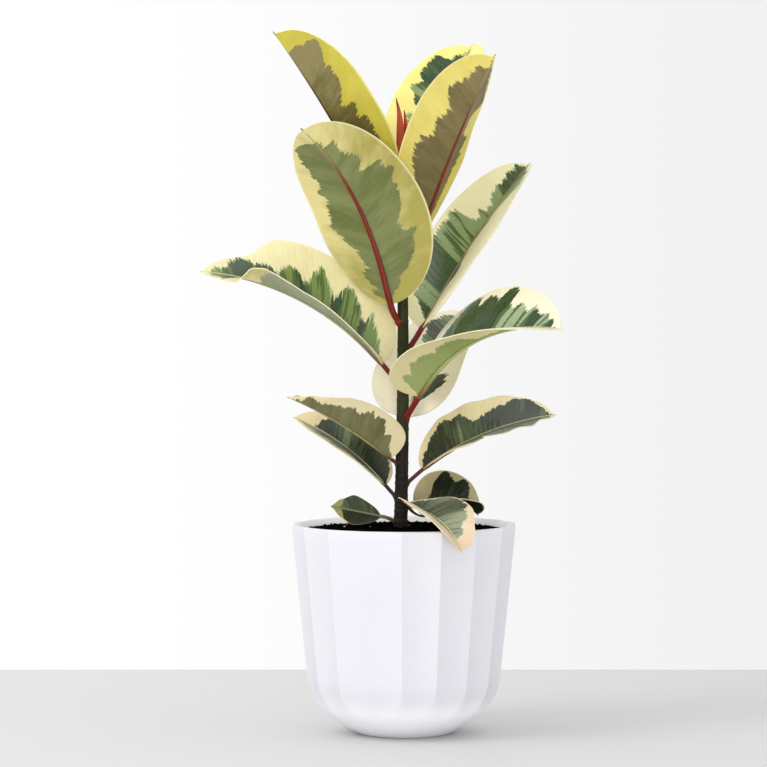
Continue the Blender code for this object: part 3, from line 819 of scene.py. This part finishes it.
            ((0, 30, 50), (10, 85, 60), (50, 85, 60), (60, 80, 30), (72, 86, 30), (86, 80, 30),
             (93, 50, 30), (97, -20, 30)),
            ((0, 30, 90), (10, 92, 100), (30, 92, 100), (40, 86, 70), (55, 82, 50), (65, 62, 50),
             (72, 72, 90), (79, 50, 100), (82, -20, 50)))},
    "leaf_right_lower": {
        "node": 0.25, "azimuth": 22, "leave": 40, "petiole": 0.02, "stalk": 0.002, "rise": 37,
        "length": 0.158, "width": 0.098, "droop": 31, "bend": 0.8, "skew": 1.12,
        "fold": ((0, 42, 20), (1, 42, 3)),
        "wide": ((0, 0.8, 1), (0.24, 0.95, 0.85), (0.34, 1, 1.1), (0.42, 1, 0.5), (0.52, 1, 1.05),
                 (0.68, 1, 1), (0.85, 1, 0.6), (1, 1, 0.5)),
        "style": "old", "ripple": 0.001, "ripples": 4.5,
        "look": {
            "redTo": 0.3, "redDark": (70, 26, 24), "redPale": (110, 50, 44), "dark": (48, 58, 42),
            "middle": (78, 92, 68), "pale": (122, 136, 106), "underDark": (74, 82, 56),
            "underPale": (96, 104, 74), "cream": (246, 232, 184), "creamDeep": (236, 218, 166),
            "uneven": 0.6},
        "green": (
            ((0, 30, 80), (6, 60, 90), (20, 80, 100), (33, 90, 80), (37, 76, 60), (45, 80, 40),
             (48, 44, 60), (56, 50, 70), (64, 60, 70), (72, 64, 70), (80, 88, 90), (90, 97, 90),
             (94, 55, 60), (97, 20, 50), (100, -20, 50)),
            ((0, 30, 60), (20, 40, 60), (26, 80, 60), (30, 110, 70), (42, 80, 60), (50, 110, 70),
             (72, 110, 60), (90, 110, 50), (94, 80, 50), (97, -20, 50)))},
    "leaf_small_left": {
        "node": 0.212, "azimuth": -168, "leave": 30, "land": 10, "petiole": 0.014, "rise": 12,
        "length": 0.052, "width": 0.034, "roll": -52, "full": 1.8, "skew": 1.4, "cup": (10, 10),
        "fold": ((0, 15, 15),),
        "wide": ((0, 1.12, 1), (0.55, 1.12, 1), (0.82, 0.9, 0.7), (1, 0.3, 0.3)), "style": "old",
        "look": {
            "cream": (168, 164, 104), "creamDeep": (132, 132, 78), "creamUnder": (150, 146, 110),
            "dark": (40, 46, 30), "middle": (56, 64, 42), "pale": (84, 94, 64), "rim": (110, 116, 88),
            "redTo": -0.5, "redDark": (70, 70, 46), "redPale": (96, 98, 68), "stalk": (110, 110, 80),
            "ribOver": (128, 134, 104), "uneven": 0.3, "sheenStreaks": 2},
        "green": (
            ((0, 110, 90), (15, 120, 90), (68, 120, 90), (76, 80, 80), (80, 10, 60), (86, -30, 50)),
            ((0, 110, 50), (15, 120, 50), (70, 120, 50), (78, 70, 50), (84, -10, 40)))},
    "leaf_small_back": {
        "node": 0.227, "azimuth": 18, "leave": -60, "land": -10, "petiole": 0.02, "rise": 46,
        "length": 0.066, "width": 0.08, "droop": 92, "cup": (20, 20), "fold": ((0, 62, 20),),
        "wide": ((0, 0.88, 1), (0.5, 1.02, 1), (0.75, 0.93, 1), (1, 0.7, 1)), "style": "old",
        "look": {
            "cream": (206, 191, 148), "creamDeep": (172, 160, 114), "dark": (25, 35, 21),
            "middle": (40, 54, 33), "underDark": (56, 62, 40), "underPale": (84, 90, 62),
            "creamUnder": (150, 140, 104), "redTo": -0.5, "redDark": (40, 30, 20),
            "redPale": (52, 40, 28), "stalk": (52, 46, 30), "uneven": 0.6},
        "green": (
            ((0, 0, 90), (10, 20, 60), (22, 34, 60), (32, 50, 70), (36, 86, 100), (40, 70, 100),
             (44, 84, 100), (48, 100, 100), (55, 98, 100), (58, 70, 100), (63, 72, 90), (70, 96, 100),
             (74, 90, 100), (78, 30, 60), (85, -10, 40)),
            ((0, 50, 80), (10, 110, 90), (60, 110, 90), (85, 110, 90), (95, 80, 90), (99, -20, 60)))},
    "leaf_small_front": {
        "node": 0.232, "azimuth": -74, "leave": 0, "petiole": 0.014, "rise": -6, "length": 0.124,
        "width": 0.07, "droop": 60, "bend": 3, "turn": 26, "roll": 20, "full": 2.2, "skew": 1.5,
        "cup": (20, 20), "fold": ((0, 22, 56),),
        "wide": ((0, 0.5, 1), (0.2, 0.6, 1), (0.48, 0.95, 1), (0.7, 0.95, 1), (0.85, 0.8, 1),
                 (1, 0.8, 0.7)),
        "style": "old",
        "look": {
            "cream": (224, 206, 174), "creamDeep": (218, 186, 160), "redTo": -0.5,
            "stalk": (176, 170, 116), "uneven": 0.6, "pale": (146, 152, 126), "middle": (92, 102, 76),
            "dark": (62, 72, 50)},
        "green": (
            ((0, 50, 60), (10, 90, 60), (30, 97, 80), (60, 100, 80), (66, 94, 60), (68, 76, 40),
             (75, 70, 30), (79, 42, 30), (85, 62, 30), (88, 30, 30), (90, -20, 30)),
            ((0, 30, 50), (10, 70, 50), (40, 75, 50), (60, 65, 50), (75, 50, 40), (85, 20, 30),
             (90, -20, 30)))},
}


# stem

stem = {
    "base": 0.2060,
    "apex": 0.548,
    "left": -0.0034,
    "bow": 0.0024,
    "radius": 0.0068,           # at the soil
    "tipRadius": 0.0046,
    "rings": 420,
    "around": 40,
    "taproot": ((0.118, 0.0012), (0.138, 0.0030), (0.158, 0.0050), (0.175, 0.0068), (0.189, 0.0076),
                (0.199, 0.0072)),       # height and radius
    "oldScars": (0.2220, 0.2570, 0.2890, 0.3330),
    "scarBand": 0.0012,
    "scarWidth": 0.0016,
    "scarSwell": 0.00030,
    "scarDip": 0.00016,
    "petioleSwell": 0.0011,
    "barkSwell": 0.00022,
    "barkGrain": (420, 420, 110),
    "greenFrom": 0.295,
    "barkDark": (16, 13, 12),
    "barkLight": (44, 34, 24),
    "greenDark": (30, 32, 14),
    "greenLight": (62, 64, 30),
    "scarTint": (70, 60, 40),
}
sideRoots = {
    "count": 5,
    "turn": 0.5,
    "swing": 0.35,
    "top": 0.189,
    "spacing": 0.007,
    "falls": (0.050, 0.062),
    "bend": 1.4,
    "reach": 0.062,
    "radius": 0.003,
    "taper": 0.075,             # of the radius, at each step
    "steps": 10,
    "around": 8,
}


def alongStem(height):
    return min(max((height - stem["base"]) / (stem["apex"] - stem["base"]), 0), 1)


def stemCentre(height):
    return Vector((stem["left"] + stem["bow"] * math.sin(math.pi * alongStem(height)), 0, height))


def stemRadius(height):
    return between(stem["radius"], stem["tipRadius"], alongStem(height))


def rootRod(index):
    turn = 2 * math.pi * index / sideRoots["count"] + sideRoots["turn"]
    start = stemCentre(sideRoots["top"] - sideRoots["spacing"] * (index % 3))
    fall = sideRoots["falls"][index % 2]
    steps = sideRoots["steps"]
    centres = []
    for step in range(steps + 1):
        share = step / steps
        swing = turn + sideRoots["swing"] * math.sin(3 * share + index)
        out = sideRoots["reach"] * share
        drop = fall * share ** sideRoots["bend"]
        centres.append(start + Vector((out * math.cos(swing), out * math.sin(swing), -drop)))
    rings = []
    for step, centre in enumerate(centres):
        ahead = (centres[min(step + 1, steps)] - centres[max(step - 1, 0)]).normalized()
        left = ahead.cross(Vector((0, 0, 1))).normalized()
        radius = sideRoots["radius"] * (1 - sideRoots["taper"] * step)
        rings.append((centre, left, left.cross(ahead), radius))
    return rodPiece("root", closedRings(rings), sideRoots["around"], lambda ring: (0, 0, 0))


def barkFinish():
    finish = Finish("stem bark", roughness=0.65, Specular_IOR_Level=0.22)
    place = finish.object()
    height, scar = finish.parts(finish.stored("patch"))[:2]
    grain = finish.cloud(finish.stretch(place, 1, 1, 0.16), scale=620, detail=4)
    blotch = finish.cloud(place, scale=120, detail=3)
    bark = finish.mix(
        (0.4 + grain * 0.9 + blotch * 0.5).clamped(), tint(*stem["barkDark"]), tint(*stem["barkLight"]))
    green = finish.mix(
        (0.4 + grain * 0.6 + blotch * 0.7).clamped(), tint(*stem["greenDark"]), tint(*stem["greenLight"]))
    rise = finish.step(height - stem["greenFrom"] + blotch * 0.02, 0.03)
    base = finish.mix(rise, bark, green)
    finish.plug("Base Color", finish.mix((scar * 0.25).clamped(), base, tint(*stem["scarTint"])))
    spots = finish.cloud(finish.stretch(place, 1, 1, 2.2), scale=760, detail=1)
    lenticels = finish.step(spots - 0.36, 0.12)
    finish.bump(grain * 0.5 + lenticels * 0.35 + blotch * 0.3, strength=0.6, distance=0.0005)
    return finish.material


def jointSwell(outward, height, joints):
    # how far the stem swells here: a ring at each scar, and a cushion under each petiole
    angle = math.atan2(outward.y, outward.x)
    swell = 0
    for place, turn in joints:
        off = (height - place) / stem["scarWidth"]
        if abs(off) < 4:
            swell += stem["scarSwell"] * math.exp(-off * off)
            swell -= stem["scarDip"] * math.exp(-(off - 1.6) ** 2)
            if turn is not None:
                facing = max(0, math.cos(angle - turn)) ** 3
                swell += stem["petioleSwell"] * math.exp(-(off / 2.2) ** 2) * facing
    return swell


def makeStem():
    joints = [(leaf["node"], math.radians(leaf["azimuth"])) for leaf in leaves.values()]
    joints += [(height, None) for height in stem["oldScars"]]
    count = stem["rings"]
    heights = [between(stem["base"], stem["apex"], step / count) for step in range(count + 1)]
    sizes = [*stem["taproot"], *((height, stemRadius(height)) for height in heights)]
    rings = closedRings([
        (stemCentre(height), Vector((1, 0, 0)), Vector((0, 1, 0)), radius) for height, radius in sizes])

    def atRing(ring):
        # its height, and 1 on a scar that fades to 0 beside it
        height = rings[ring][0].z
        nearest = min(abs(height - joint[0]) for joint in joints)
        return (height, max(0, 1 - nearest / stem["scarBand"]), 0)

    trunk = rodPiece("trunk", rings, stem["around"], atRing)
    for corner in trunk.data.vertices:
        height = corner.co.z
        if stem["base"] < height < stem["apex"]:
            outward = corner.co - stemCentre(height)
            swell = jointSwell(outward, height, joints)
            grain = noise.noise(Vector([at * fine for at, fine in zip(corner.co, stem["barkGrain"])]))
            swell += stem["barkSwell"] * grain * (1 if height < stem["greenFrom"] else 0.45)
            corner.co += outward.normalized() * swell
    joined(trunk, *[rootRod(index) for index in range(sideRoots["count"])])
    trunk.data.materials.append(barkFinish())
    smooth(trunk, 60)
    hand(trunk, "stem")


makeStem()
print("stem is up")


# bud: a red sheath and the spike beside it

buds = {                        # x, y, height and radius
    "bud_sheath": (
        (-0.0036, -0.0010, 0.5485, 0.0022), (-0.0038, -0.0014, 0.5580, 0.0034),
        (-0.0037, -0.0016, 0.5800, 0.0044), (-0.0036, -0.0014, 0.6000, 0.0039),
        (-0.0048, -0.0006, 0.6180, 0.0023), (-0.0079, 0, 0.6330, 0.0004)),
    "bud_spike": (
        (-0.0014, 0.0022, 0.5485, 0.0011), (0.0006, 0.0032, 0.5580, 0.0016),
        (0.0022, 0.0034, 0.5780, 0.0024), (0.0020, 0.0034, 0.6000, 0.0024),
        (0.0010, 0.0030, 0.6140, 0.0013), (0, 0.0026, 0.6215, 0.0003)),
}
budShape = {
    "foot": 0.5485,
    "height": 0.085,
    "rings": 48,
    "around": 28,
    "leastRadius": 0.0002,
    "ridges": 3,                # they stand out by this share, and wind round this many radians
    "ridgeShare": 0.05,
    "ridgeTurn": 4,
    "redLow": (190, 78, 50),
    "redHigh": (210, 66, 54),
    "footTint": (188, 101, 53),
    "tipTint": (96, 30, 20),
}


def curveThrough(points, share):
    # Catmull-Rom through the points, each a tuple of numbers
    place = share * (len(points) - 1)
    start = min(int(place), len(points) - 2)
    on = place - start
    a, b, c, d = (points[min(max(start + step, 0), len(points) - 1)] for step in (-1, 0, 1, 2))
    return [
        0.5 * (2 * q + (r - p) * on + (2 * p - 5 * q + 4 * r - s) * on ** 2
               + (3 * q - p - 3 * r + s) * on ** 3)
        for p, q, r, s in zip(a, b, c, d)]


def budFinish():
    finish = Finish("red sheath", roughness=0.3, Coat_Weight=0.3, Coat_Roughness=0.2)
    share = finish.parts(finish.stored("patch"))[0]
    streak = finish.cloud(finish.stretch(finish.object(), 1, 1, 0.08), scale=1500, detail=3)
    red = finish.mix(
        (share + streak * 0.4).clamped(), tint(*budShape["redLow"]), tint(*budShape["redHigh"]))
    nearFoot = finish.step(0.22 - share + streak * 0.1, 0.2)
    red = finish.mix(nearFoot, red, tint(*budShape["footTint"]))
    nearTip = finish.step(share - 0.86, 0.12)
    finish.plug("Base Color", finish.mix(nearTip, red, tint(*budShape["tipTint"])))
    finish.bump(streak, strength=0.4, distance=0.0004)
    return finish.material


def makeBud(node, points, material):
    rings = []
    for step in range(budShape["rings"] + 1):
        *centre, radius = curveThrough(points, step / budShape["rings"])
        radius = max(radius, budShape["leastRadius"])
        rings.append((Vector(centre), Vector((1, 0, 0)), Vector((0, 1, 0)), radius))
    rings = closedRings(rings)
    name = camelName(node.split("_"))
    piece = rodPiece(name, rings, budShape["around"], lambda ring: (ring / (len(rings) - 1), 0, 0))
    for corner in piece.data.vertices:
        # soft ridges wind round it
        share = (corner.co.z - budShape["foot"]) / budShape["height"]
        x, y = curveThrough(points, min(max(share, 0), 1))[:2]
        out = corner.co - Vector((x, y, corner.co.z))
        turn = budShape["ridges"] * math.atan2(out.y, out.x) + budShape["ridgeTurn"] * share
        ridge = budShape["ridgeShare"] * math.cos(turn)
        corner.co += out * ridge
    piece.data.materials.append(material)
    smooth(piece, 60)
    hand(piece, node)


redSheath = budFinish()
for node, points in buds.items():
    makeBud(node, points, redSheath)
print("bud is set")


# leaves

bladeShape = {
    "petioleSteps": 16,
    "steps": 120,
    "lengthways": 104,
    "across": 48,
    "crowding": 0.55,           # how much closer the rows lie near the base and the tip
    "offStem": 0.0003,
    "bodyEnd": 0.9825,          # share of the length where the body ends in the drip tip
    "tipSlope": 0.75,
    "tipWidth": 0.10,
    "leastReach": 0.0008,
    "leastCurl": 0.002,
    "veinSlant": (0.30, 0.25),  # of a side vein at the base, and what it gains to the tip
    "rowGap": 0.0006,
}
leafGrain = {                   # millimetres across and along the side veins, and which noise it is
    "teeth": (3.4, 34, 1),
    "notches": (1.3, 14, 2),
    "drift": (10, 60, 3),
    "halo": (5, 40, 4),
    "sheenStreaks": (1.1, 22, 5),
    "strips": (9, 70, 6),
    "softStrips": (9, 40, 6),
    "fineStrips": (3, 50, 7),
    "mottle": (3, 6, 8),
    "wander": (14, 30, 9),
    "fading": (6, 12, 10),
    "veinGap": 6.2,
    "ribHalf": 1.1,
    "marginFrom": 0.975,        # of the way from the midrib to the margin
}
stalkShape = {
    "inward": 0.0022,           # the petiole's foot is this far inside the stem, and this far down
    "down": 0.0045,
    "footSizes": (0.5, 0.95),   # of its radius, at its first two rings
    "flare": 0.3,
    "flareTo": 0.16,
    "ribSteps": 60,
    "ribEnd": 0.96,
    "ribTip": 0.14,
    "settleBy": 0.07,           # the midrib has settled against the underside by this share
    "flat": 0.62,
    "offBlade": 0.0003,
    "around": 16,
}


def heading(pitch, turn):
    return Vector((math.cos(pitch) * math.cos(turn), math.cos(pitch) * math.sin(turn), math.sin(pitch)))


class Blade:
    # where every point of one leaf lies
    def __init__(self, leaf):
        self.leaf = leaf
        self.azimuth = math.radians(leaf["azimuth"])
        self.leave = math.radians(leaf["leave"])
        self.rise = math.radians(leaf["rise"])
        self.land = math.radians(leaf.get("land", leaf["rise"]))
        self.petiole = self.walkPetiole(bladeShape["petioleSteps"])
        self.walked = [self.petiole[-1]]
        steps = bladeShape["steps"]
        for step in range(steps):
            ahead = self.axes((step + 0.5) / steps)[0]
            self.walked.append(self.walked[-1] + ahead * leaf["length"] / steps)

    def walkPetiole(self, steps):
        leaf = self.leaf
        out = heading(0, self.azimuth)
        point = stemCentre(leaf["node"]) + out * (stemRadius(leaf["node"]) + bladeShape["offStem"])
        points = [point]
        for step in range(steps):
            pitch = between(self.leave, self.land, (step + 0.5) / steps)
            point = point + heading(pitch, self.azimuth) * leaf["petiole"] / steps
            points.append(point)
        return points

    def axes(self, share):
        leaf = self.leaf
        pitch = self.rise - math.radians(leaf["droop"]) * share ** leaf["bend"]
        turn = self.azimuth + math.radians(leaf["turn"]) * share
        ahead = heading(pitch, turn)
        level = Vector((-math.sin(turn), math.cos(turn), 0))
        upright = ahead.cross(level)
        roll = math.radians(leaf["roll"])
        left = level * math.cos(roll) + upright * math.sin(roll)
        return ahead, left, upright * math.cos(roll) - level * math.sin(roll)

    def centre(self, share):
        place = share * (len(self.walked) - 1)
        step = min(int(place), len(self.walked) - 2)
        return self.walked[step].lerp(self.walked[step + 1], place - step)

    def halfWidth(self, share):
        # against 1 at the widest
        place = min(share / bladeShape["bodyEnd"], 1) ** self.leaf["skew"]
        body = max(0, 1 - abs(2 * place - 1) ** self.leaf["full"]) ** 0.5
        dripTip = min(bladeShape["tipSlope"] * (1 - share), bladeShape["tipWidth"]) if share > 0.5 else 0
        return max(body, dripTip)

    def reach(self, share, side):
        wide = along(self.leaf["wide"], share, eased=True)[side]
        return max(self.leaf["width"] / 2 * wide * self.halfWidth(share), bladeShape["leastReach"])

    def point(self, share, across):
        leaf = self.leaf
        side = 0 if across > 0 else 1
        left, up = self.axes(share)[1:]
        out = left if across > 0 else -left
        full = self.halfWidth(share)
        fold = math.radians(along(leaf["fold"], share)[side])
        curl = max(math.radians(leaf["cup"][side]) * full, bladeShape["leastCurl"])
        reach = self.reach(share, side)
        here = fold - curl * abs(across)
        sideways = reach * (math.sin(fold) - math.sin(here)) / curl
        lift = reach * (math.cos(here) - math.cos(fold)) / curl
        beat = leaf["ripples"] * share + (0.3 if across > 0 else 0)     # the halves ripple out of step
        beat = math.sin(2 * math.pi * beat + leaf["node"] * 90)
        normal = up * math.cos(here) - out * math.sin(here)
        ripple = normal * leaf["ripple"] * beat * full * across ** 4
        return self.centre(share) + out * sideways + up * lift + ripple


def leafFinish(name, look, under):
    finish = Finish(
        name, roughness=0.55 if under else 0.3, Specular_IOR_Level=0.3 if under else 0.5)
    # in millimetres, where the side vein leaves the midrib and how far out this is; and a seed
    vein = finish.stored("vein")
    veinFoot, across = finish.parts(vein)[:2]
    edge, dark, toMargin = finish.parts(finish.stored("patch"))
    tones = {key: tint(*value) for key, value in look.items() if isinstance(value, tuple)}

    def strands(grain, detail=2):
        # noise drawn out along the side veins
        width, length, kind = leafGrain[grain]
        place = finish.stretch(finish.shift(vein, 0, 0, 13.7 * kind), 1, width / length, 1)
        return finish.cloud(place, 1 / width, detail, 0.6)

    # the green ends in pointed teeth that run along the side veins
    teeth = 0.13 - abs(strands("teeth"))
    notches = 0.13 - abs(strands("notches"))
    drift = strands("drift") * 9
    jagged = edge + (drift + teeth * look["teeth"] + notches * look["teeth"] * 0.4) * look["uneven"]
    green = finish.step(jagged, 0.4)
    halo = finish.step(jagged + strands("halo") * 12 + look["halo"], 1.2)
    nearEdge = (1 - abs(jagged) / 9).clamped()
    # pale streak marks near the green's edge: painted sheen, a gloss highlight laid into the colour
    sheenStreaks = finish.step(strands("sheenStreaks") + nearEdge * 0.5 - look["sheenStreaks"], 0.06) * nearEdge

    # its tones lie side by side in strips, soft ones on the underside
    if under:
        tone = dark + strands("softStrips") * 0.8
    else:
        tone = dark + strands("strips", 1) * 0.6 + strands("fineStrips", 1) * 0.4
    middle = finish.step(tone - 0.34, 0.6 if under else 0.12)
    deepest = finish.step(tone - 0.70, 0.6 if under else 0.12)
    mottle = strands("mottle")
    blush = finish.cloud(finish.stretch(vein, 1, 0.5, 1), scale=0.05, detail=3)
    # baseDeep deepens the underside's cream toward the base; sideShade adds painted shade that deepens it
    # toward one half's margin and pales the other
    baseDeepAndSideShade = (0.75 - veinFoot / 160) * look["baseDeep"] + across / 60 * look["sideShade"]

    if under:
        cream = finish.mix(
            (0.35 + blush + baseDeepAndSideShade).clamped(), tones["creamUnder"], tones["creamUnderDeep"])
        deep = finish.mix(
            (middle * 0.5 + deepest * 0.5 + mottle * 0.3).clamped(),
            tones["underPale"], tones["underDark"])
        soft = finish.mix(0.5, tones["underPale"], tones["creamUnder"])
        lines = finish.mix(0.35, tones["underPale"], tones["creamUnder"])
    else:
        cream = finish.mix((0.35 + blush).clamped(), tones["cream"], tones["creamDeep"])
        deep = finish.mix(middle, tones["pale"], tones["middle"])
        deep = finish.mix(deepest, deep, tones["dark"])
        deep = finish.mix((mottle * 0.5).clamped(), deep, tones["middle"])
        soft = finish.mix(0.3, tones["pale"], tones["cream"])
        lines = tones["pale"]
    body = finish.mix(halo * 0.8, cream, soft)
    body = finish.mix(green, body, deep)
    # the painted sheen goes over the green only
    body = finish.mix(sheenStreaks * green, body, tones["streak"])
    wander = veinFoot + strands("wander") * 9
    line = abs((wander / leafGrain["veinGap"]).fraction() - 0.5)        # 0 on a side vein
    ridge = (1 - line * 9).clamped() * (0.5 + strands("fading") * 1.6).clamped()
    body = finish.mix(ridge * 0.16, body, lines)
    margin = finish.step(toMargin - leafGrain["marginFrom"], 0.03)
    body = finish.mix(margin * 0.7, body, tones["rim"])
    if under:
        finish.bump(ridge * 0.6 + mottle * 0.3, strength=0.3, distance=0.0004)
    else:
        rib = finish.step(leafGrain["ribHalf"] - abs(across), 0.6)
        body = finish.mix(rib * 0.85, body, tones["ribOver"])
        pillow = (line * 2 * math.pi).cosine()
        finish.bump(
            pillow * -0.15 - ridge * 0.3 + mottle * 0.5 + rib * 1.4, strength=0.3, distance=0.0006)
        finish.plug("Roughness", 0.30 + mottle * 0.12 + (1 - green) * 0.06)
    finish.plug("Base Color", body)
    return finish.material


def rimFinish(style, look):
    finish = Finish("leaf rim " + style, roughness=0.45)
    shade = (0.5 + finish.cloud(finish.object(), scale=300)).clamped()
    finish.plug("Base Color", finish.mix(shade, tint(*look["rim"]), tint(*look["creamDeep"])))
    return finish.material


def stalkFinish(name, look):
    # red at the stem, fading along the midrib
    finish = Finish(name, roughness=0.45, Specular_IOR_Level=0.35)
    share = finish.parts(finish.stored("patch"))[0]
    streak = finish.cloud(finish.object(), scale=380, detail=2)
    red = finish.mix((0.5 + streak * 0.8).clamped(), tint(*look["redDark"]), tint(*look["redPale"]))
    faded = finish.mix((0.5 + streak).clamped(), tint(*look["stalk"]), tint(*look["underPale"]))
    fade = finish.step(share - look["redTo"] + streak * 0.05, 0.35)
    finish.plug("Base Color", finish.mix(fade, red, faded))
    finish.bump(streak, strength=0.25, distance=0.0003)
    return finish.material


rims = {style: rimFinish(style, look) for style, look in leafStyles.items()}


def veinStart(blade, share, out):
    # how far along the midrib the side vein starts that passes this far out, in metres
    slant, gain = bladeShape["veinSlant"]
    return share * blade.leaf["length"] - (slant + gain * share) * out


def edgeRows(blade, half):
    # the rows of one half's green, moved from its edge down the side veins to the midrib
    rows = []
    for row in blade.leaf["green"][half]:
        share, greenTo, dark = (value / 100 for value in row)
        place = veinStart(blade, share, max(greenTo, 0) * blade.reach(share, half))
        if rows:
            place = max(place, rows[-1][0] + bladeShape["rowGap"])
        rows.append((place, greenTo, dark))
    return rows


def makeBlade(name, blade):
    def crowded(place):
        return between(place, 0.5 - 0.5 * math.cos(math.pi * place), bladeShape["crowding"])

    piece, spots = sheetPiece(
        name, bladeShape["lengthways"], bladeShape["across"],
        lambda place, side: blade.point(crowded(place), side))
    edges = [edgeRows(blade, half) for half in (0, 1)]
    veins, patches = [], []
    for place, side in spots:
        share = crowded(place)
        half = 0 if side > 0 else 1
        reach = blade.reach(share, half)
        out = reach * abs(side)
        start = veinStart(blade, share, out)
        greenTo, dark = along(edges[half], start)
        veins.append((start * 1000, out * (1000 if side > 0 else -1000), blade.leaf["node"] * 1000))
        patches.append(((greenTo - abs(side)) * reach * 1000, dark, abs(side)))
    keepValues(piece, "vein", veins)
    keepValues(piece, "patch", patches)
    return piece


def petioleRings(blade, radius):
    # (ring, share) from inside the stem to the blade's base
    level = Vector((-math.sin(blade.azimuth), math.cos(blade.azimuth), 0))
    first = blade.petiole[0]
    inward = heading(blade.leave, blade.azimuth) * -stalkShape["inward"]
    foot = first + inward - Vector((0, 0, stalkShape["down"]))
    rings = [((foot, level, Vector((0, 0, 1)), 0), -1)]
    for step, point in enumerate([foot.lerp(first, 0.1), foot.lerp(first, 0.5)] + blade.petiole):
        share = max(0, step - 2) / (len(blade.petiole) - 1)
        pitch = between(blade.leave, blade.land, share)
        over = heading(pitch, blade.azimuth).cross(level)
        left, up = blade.axes(0)[1:]
        left = (level * (1 - share) + left * share).normalized()
        up = (over * (1 - share) + up * share).normalized()
        if step < 2:
            flare = stalkShape["footSizes"][step]
        else:
            flare = 1 + stalkShape["flare"] * max(0, 1 - share / stalkShape["flareTo"]) ** 2
        rings.append(((point, left, up, radius * flare), -1 + share))
    return rings


def ribRings(blade, radius):
    # (ring, share) along the underside, thinning to the leaf's tip
    rings = []
    for step in range(1, stalkShape["ribSteps"] + 1):
        share = step / stalkShape["ribSteps"] * stalkShape["ribEnd"]
        left, up = blade.axes(share)[1:]
        size = radius * between(1, stalkShape["ribTip"], share ** 1.2)
        settled = min(1, share / stalkShape["settleBy"])
        flat = between(1, stalkShape["flat"], settled)
        sink = settled * (size * flat + stalkShape["offBlade"])
        rings.append(((blade.centre(share) - up * sink, left, up * flat, size), share))
    return rings + [((*rings[-1][0][:3], 0), 1)]


def makeStalk(name, blade):
    # petiole and midrib in one rod
    radius = blade.leaf["stalk"]
    rings, shares = zip(*petioleRings(blade, radius), *ribRings(blade, radius))
    return rodPiece(name, rings, stalkShape["around"], lambda ring: (shares[ring], 0, 0))


def makeLeaf(node, values):
    leaf = {**leafUsual, **values}
    look = {**leafLook, **leafStyles[leaf["style"]], **leaf["look"]}
    name = camelName(node.split("_")[1:]) + "Leaf"
    blade = Blade(leaf)
    piece = makeBlade(name, blade)
    over, under = leafFinish(name + " over", look, False), leafFinish(name + " under", look, True)
    for material in (over, under, rims[leaf["style"]]):
        piece.data.materials.append(material)
    applied(
        piece, "SOLIDIFY", thickness=leaf["thick"], offset=-1, use_rim=True,
        material_offset=1, material_offset_rim=2)
    stalk = makeStalk(name + "Stalk", blade)
    stalk.data.materials.append(stalkFinish(name + " stalk", look))
    joined(piece, stalk)
    smooth(piece, 50)
    hand(piece, node)


for node, values in leaves.items():
    makeLeaf(node, values)
print("leaves are on")
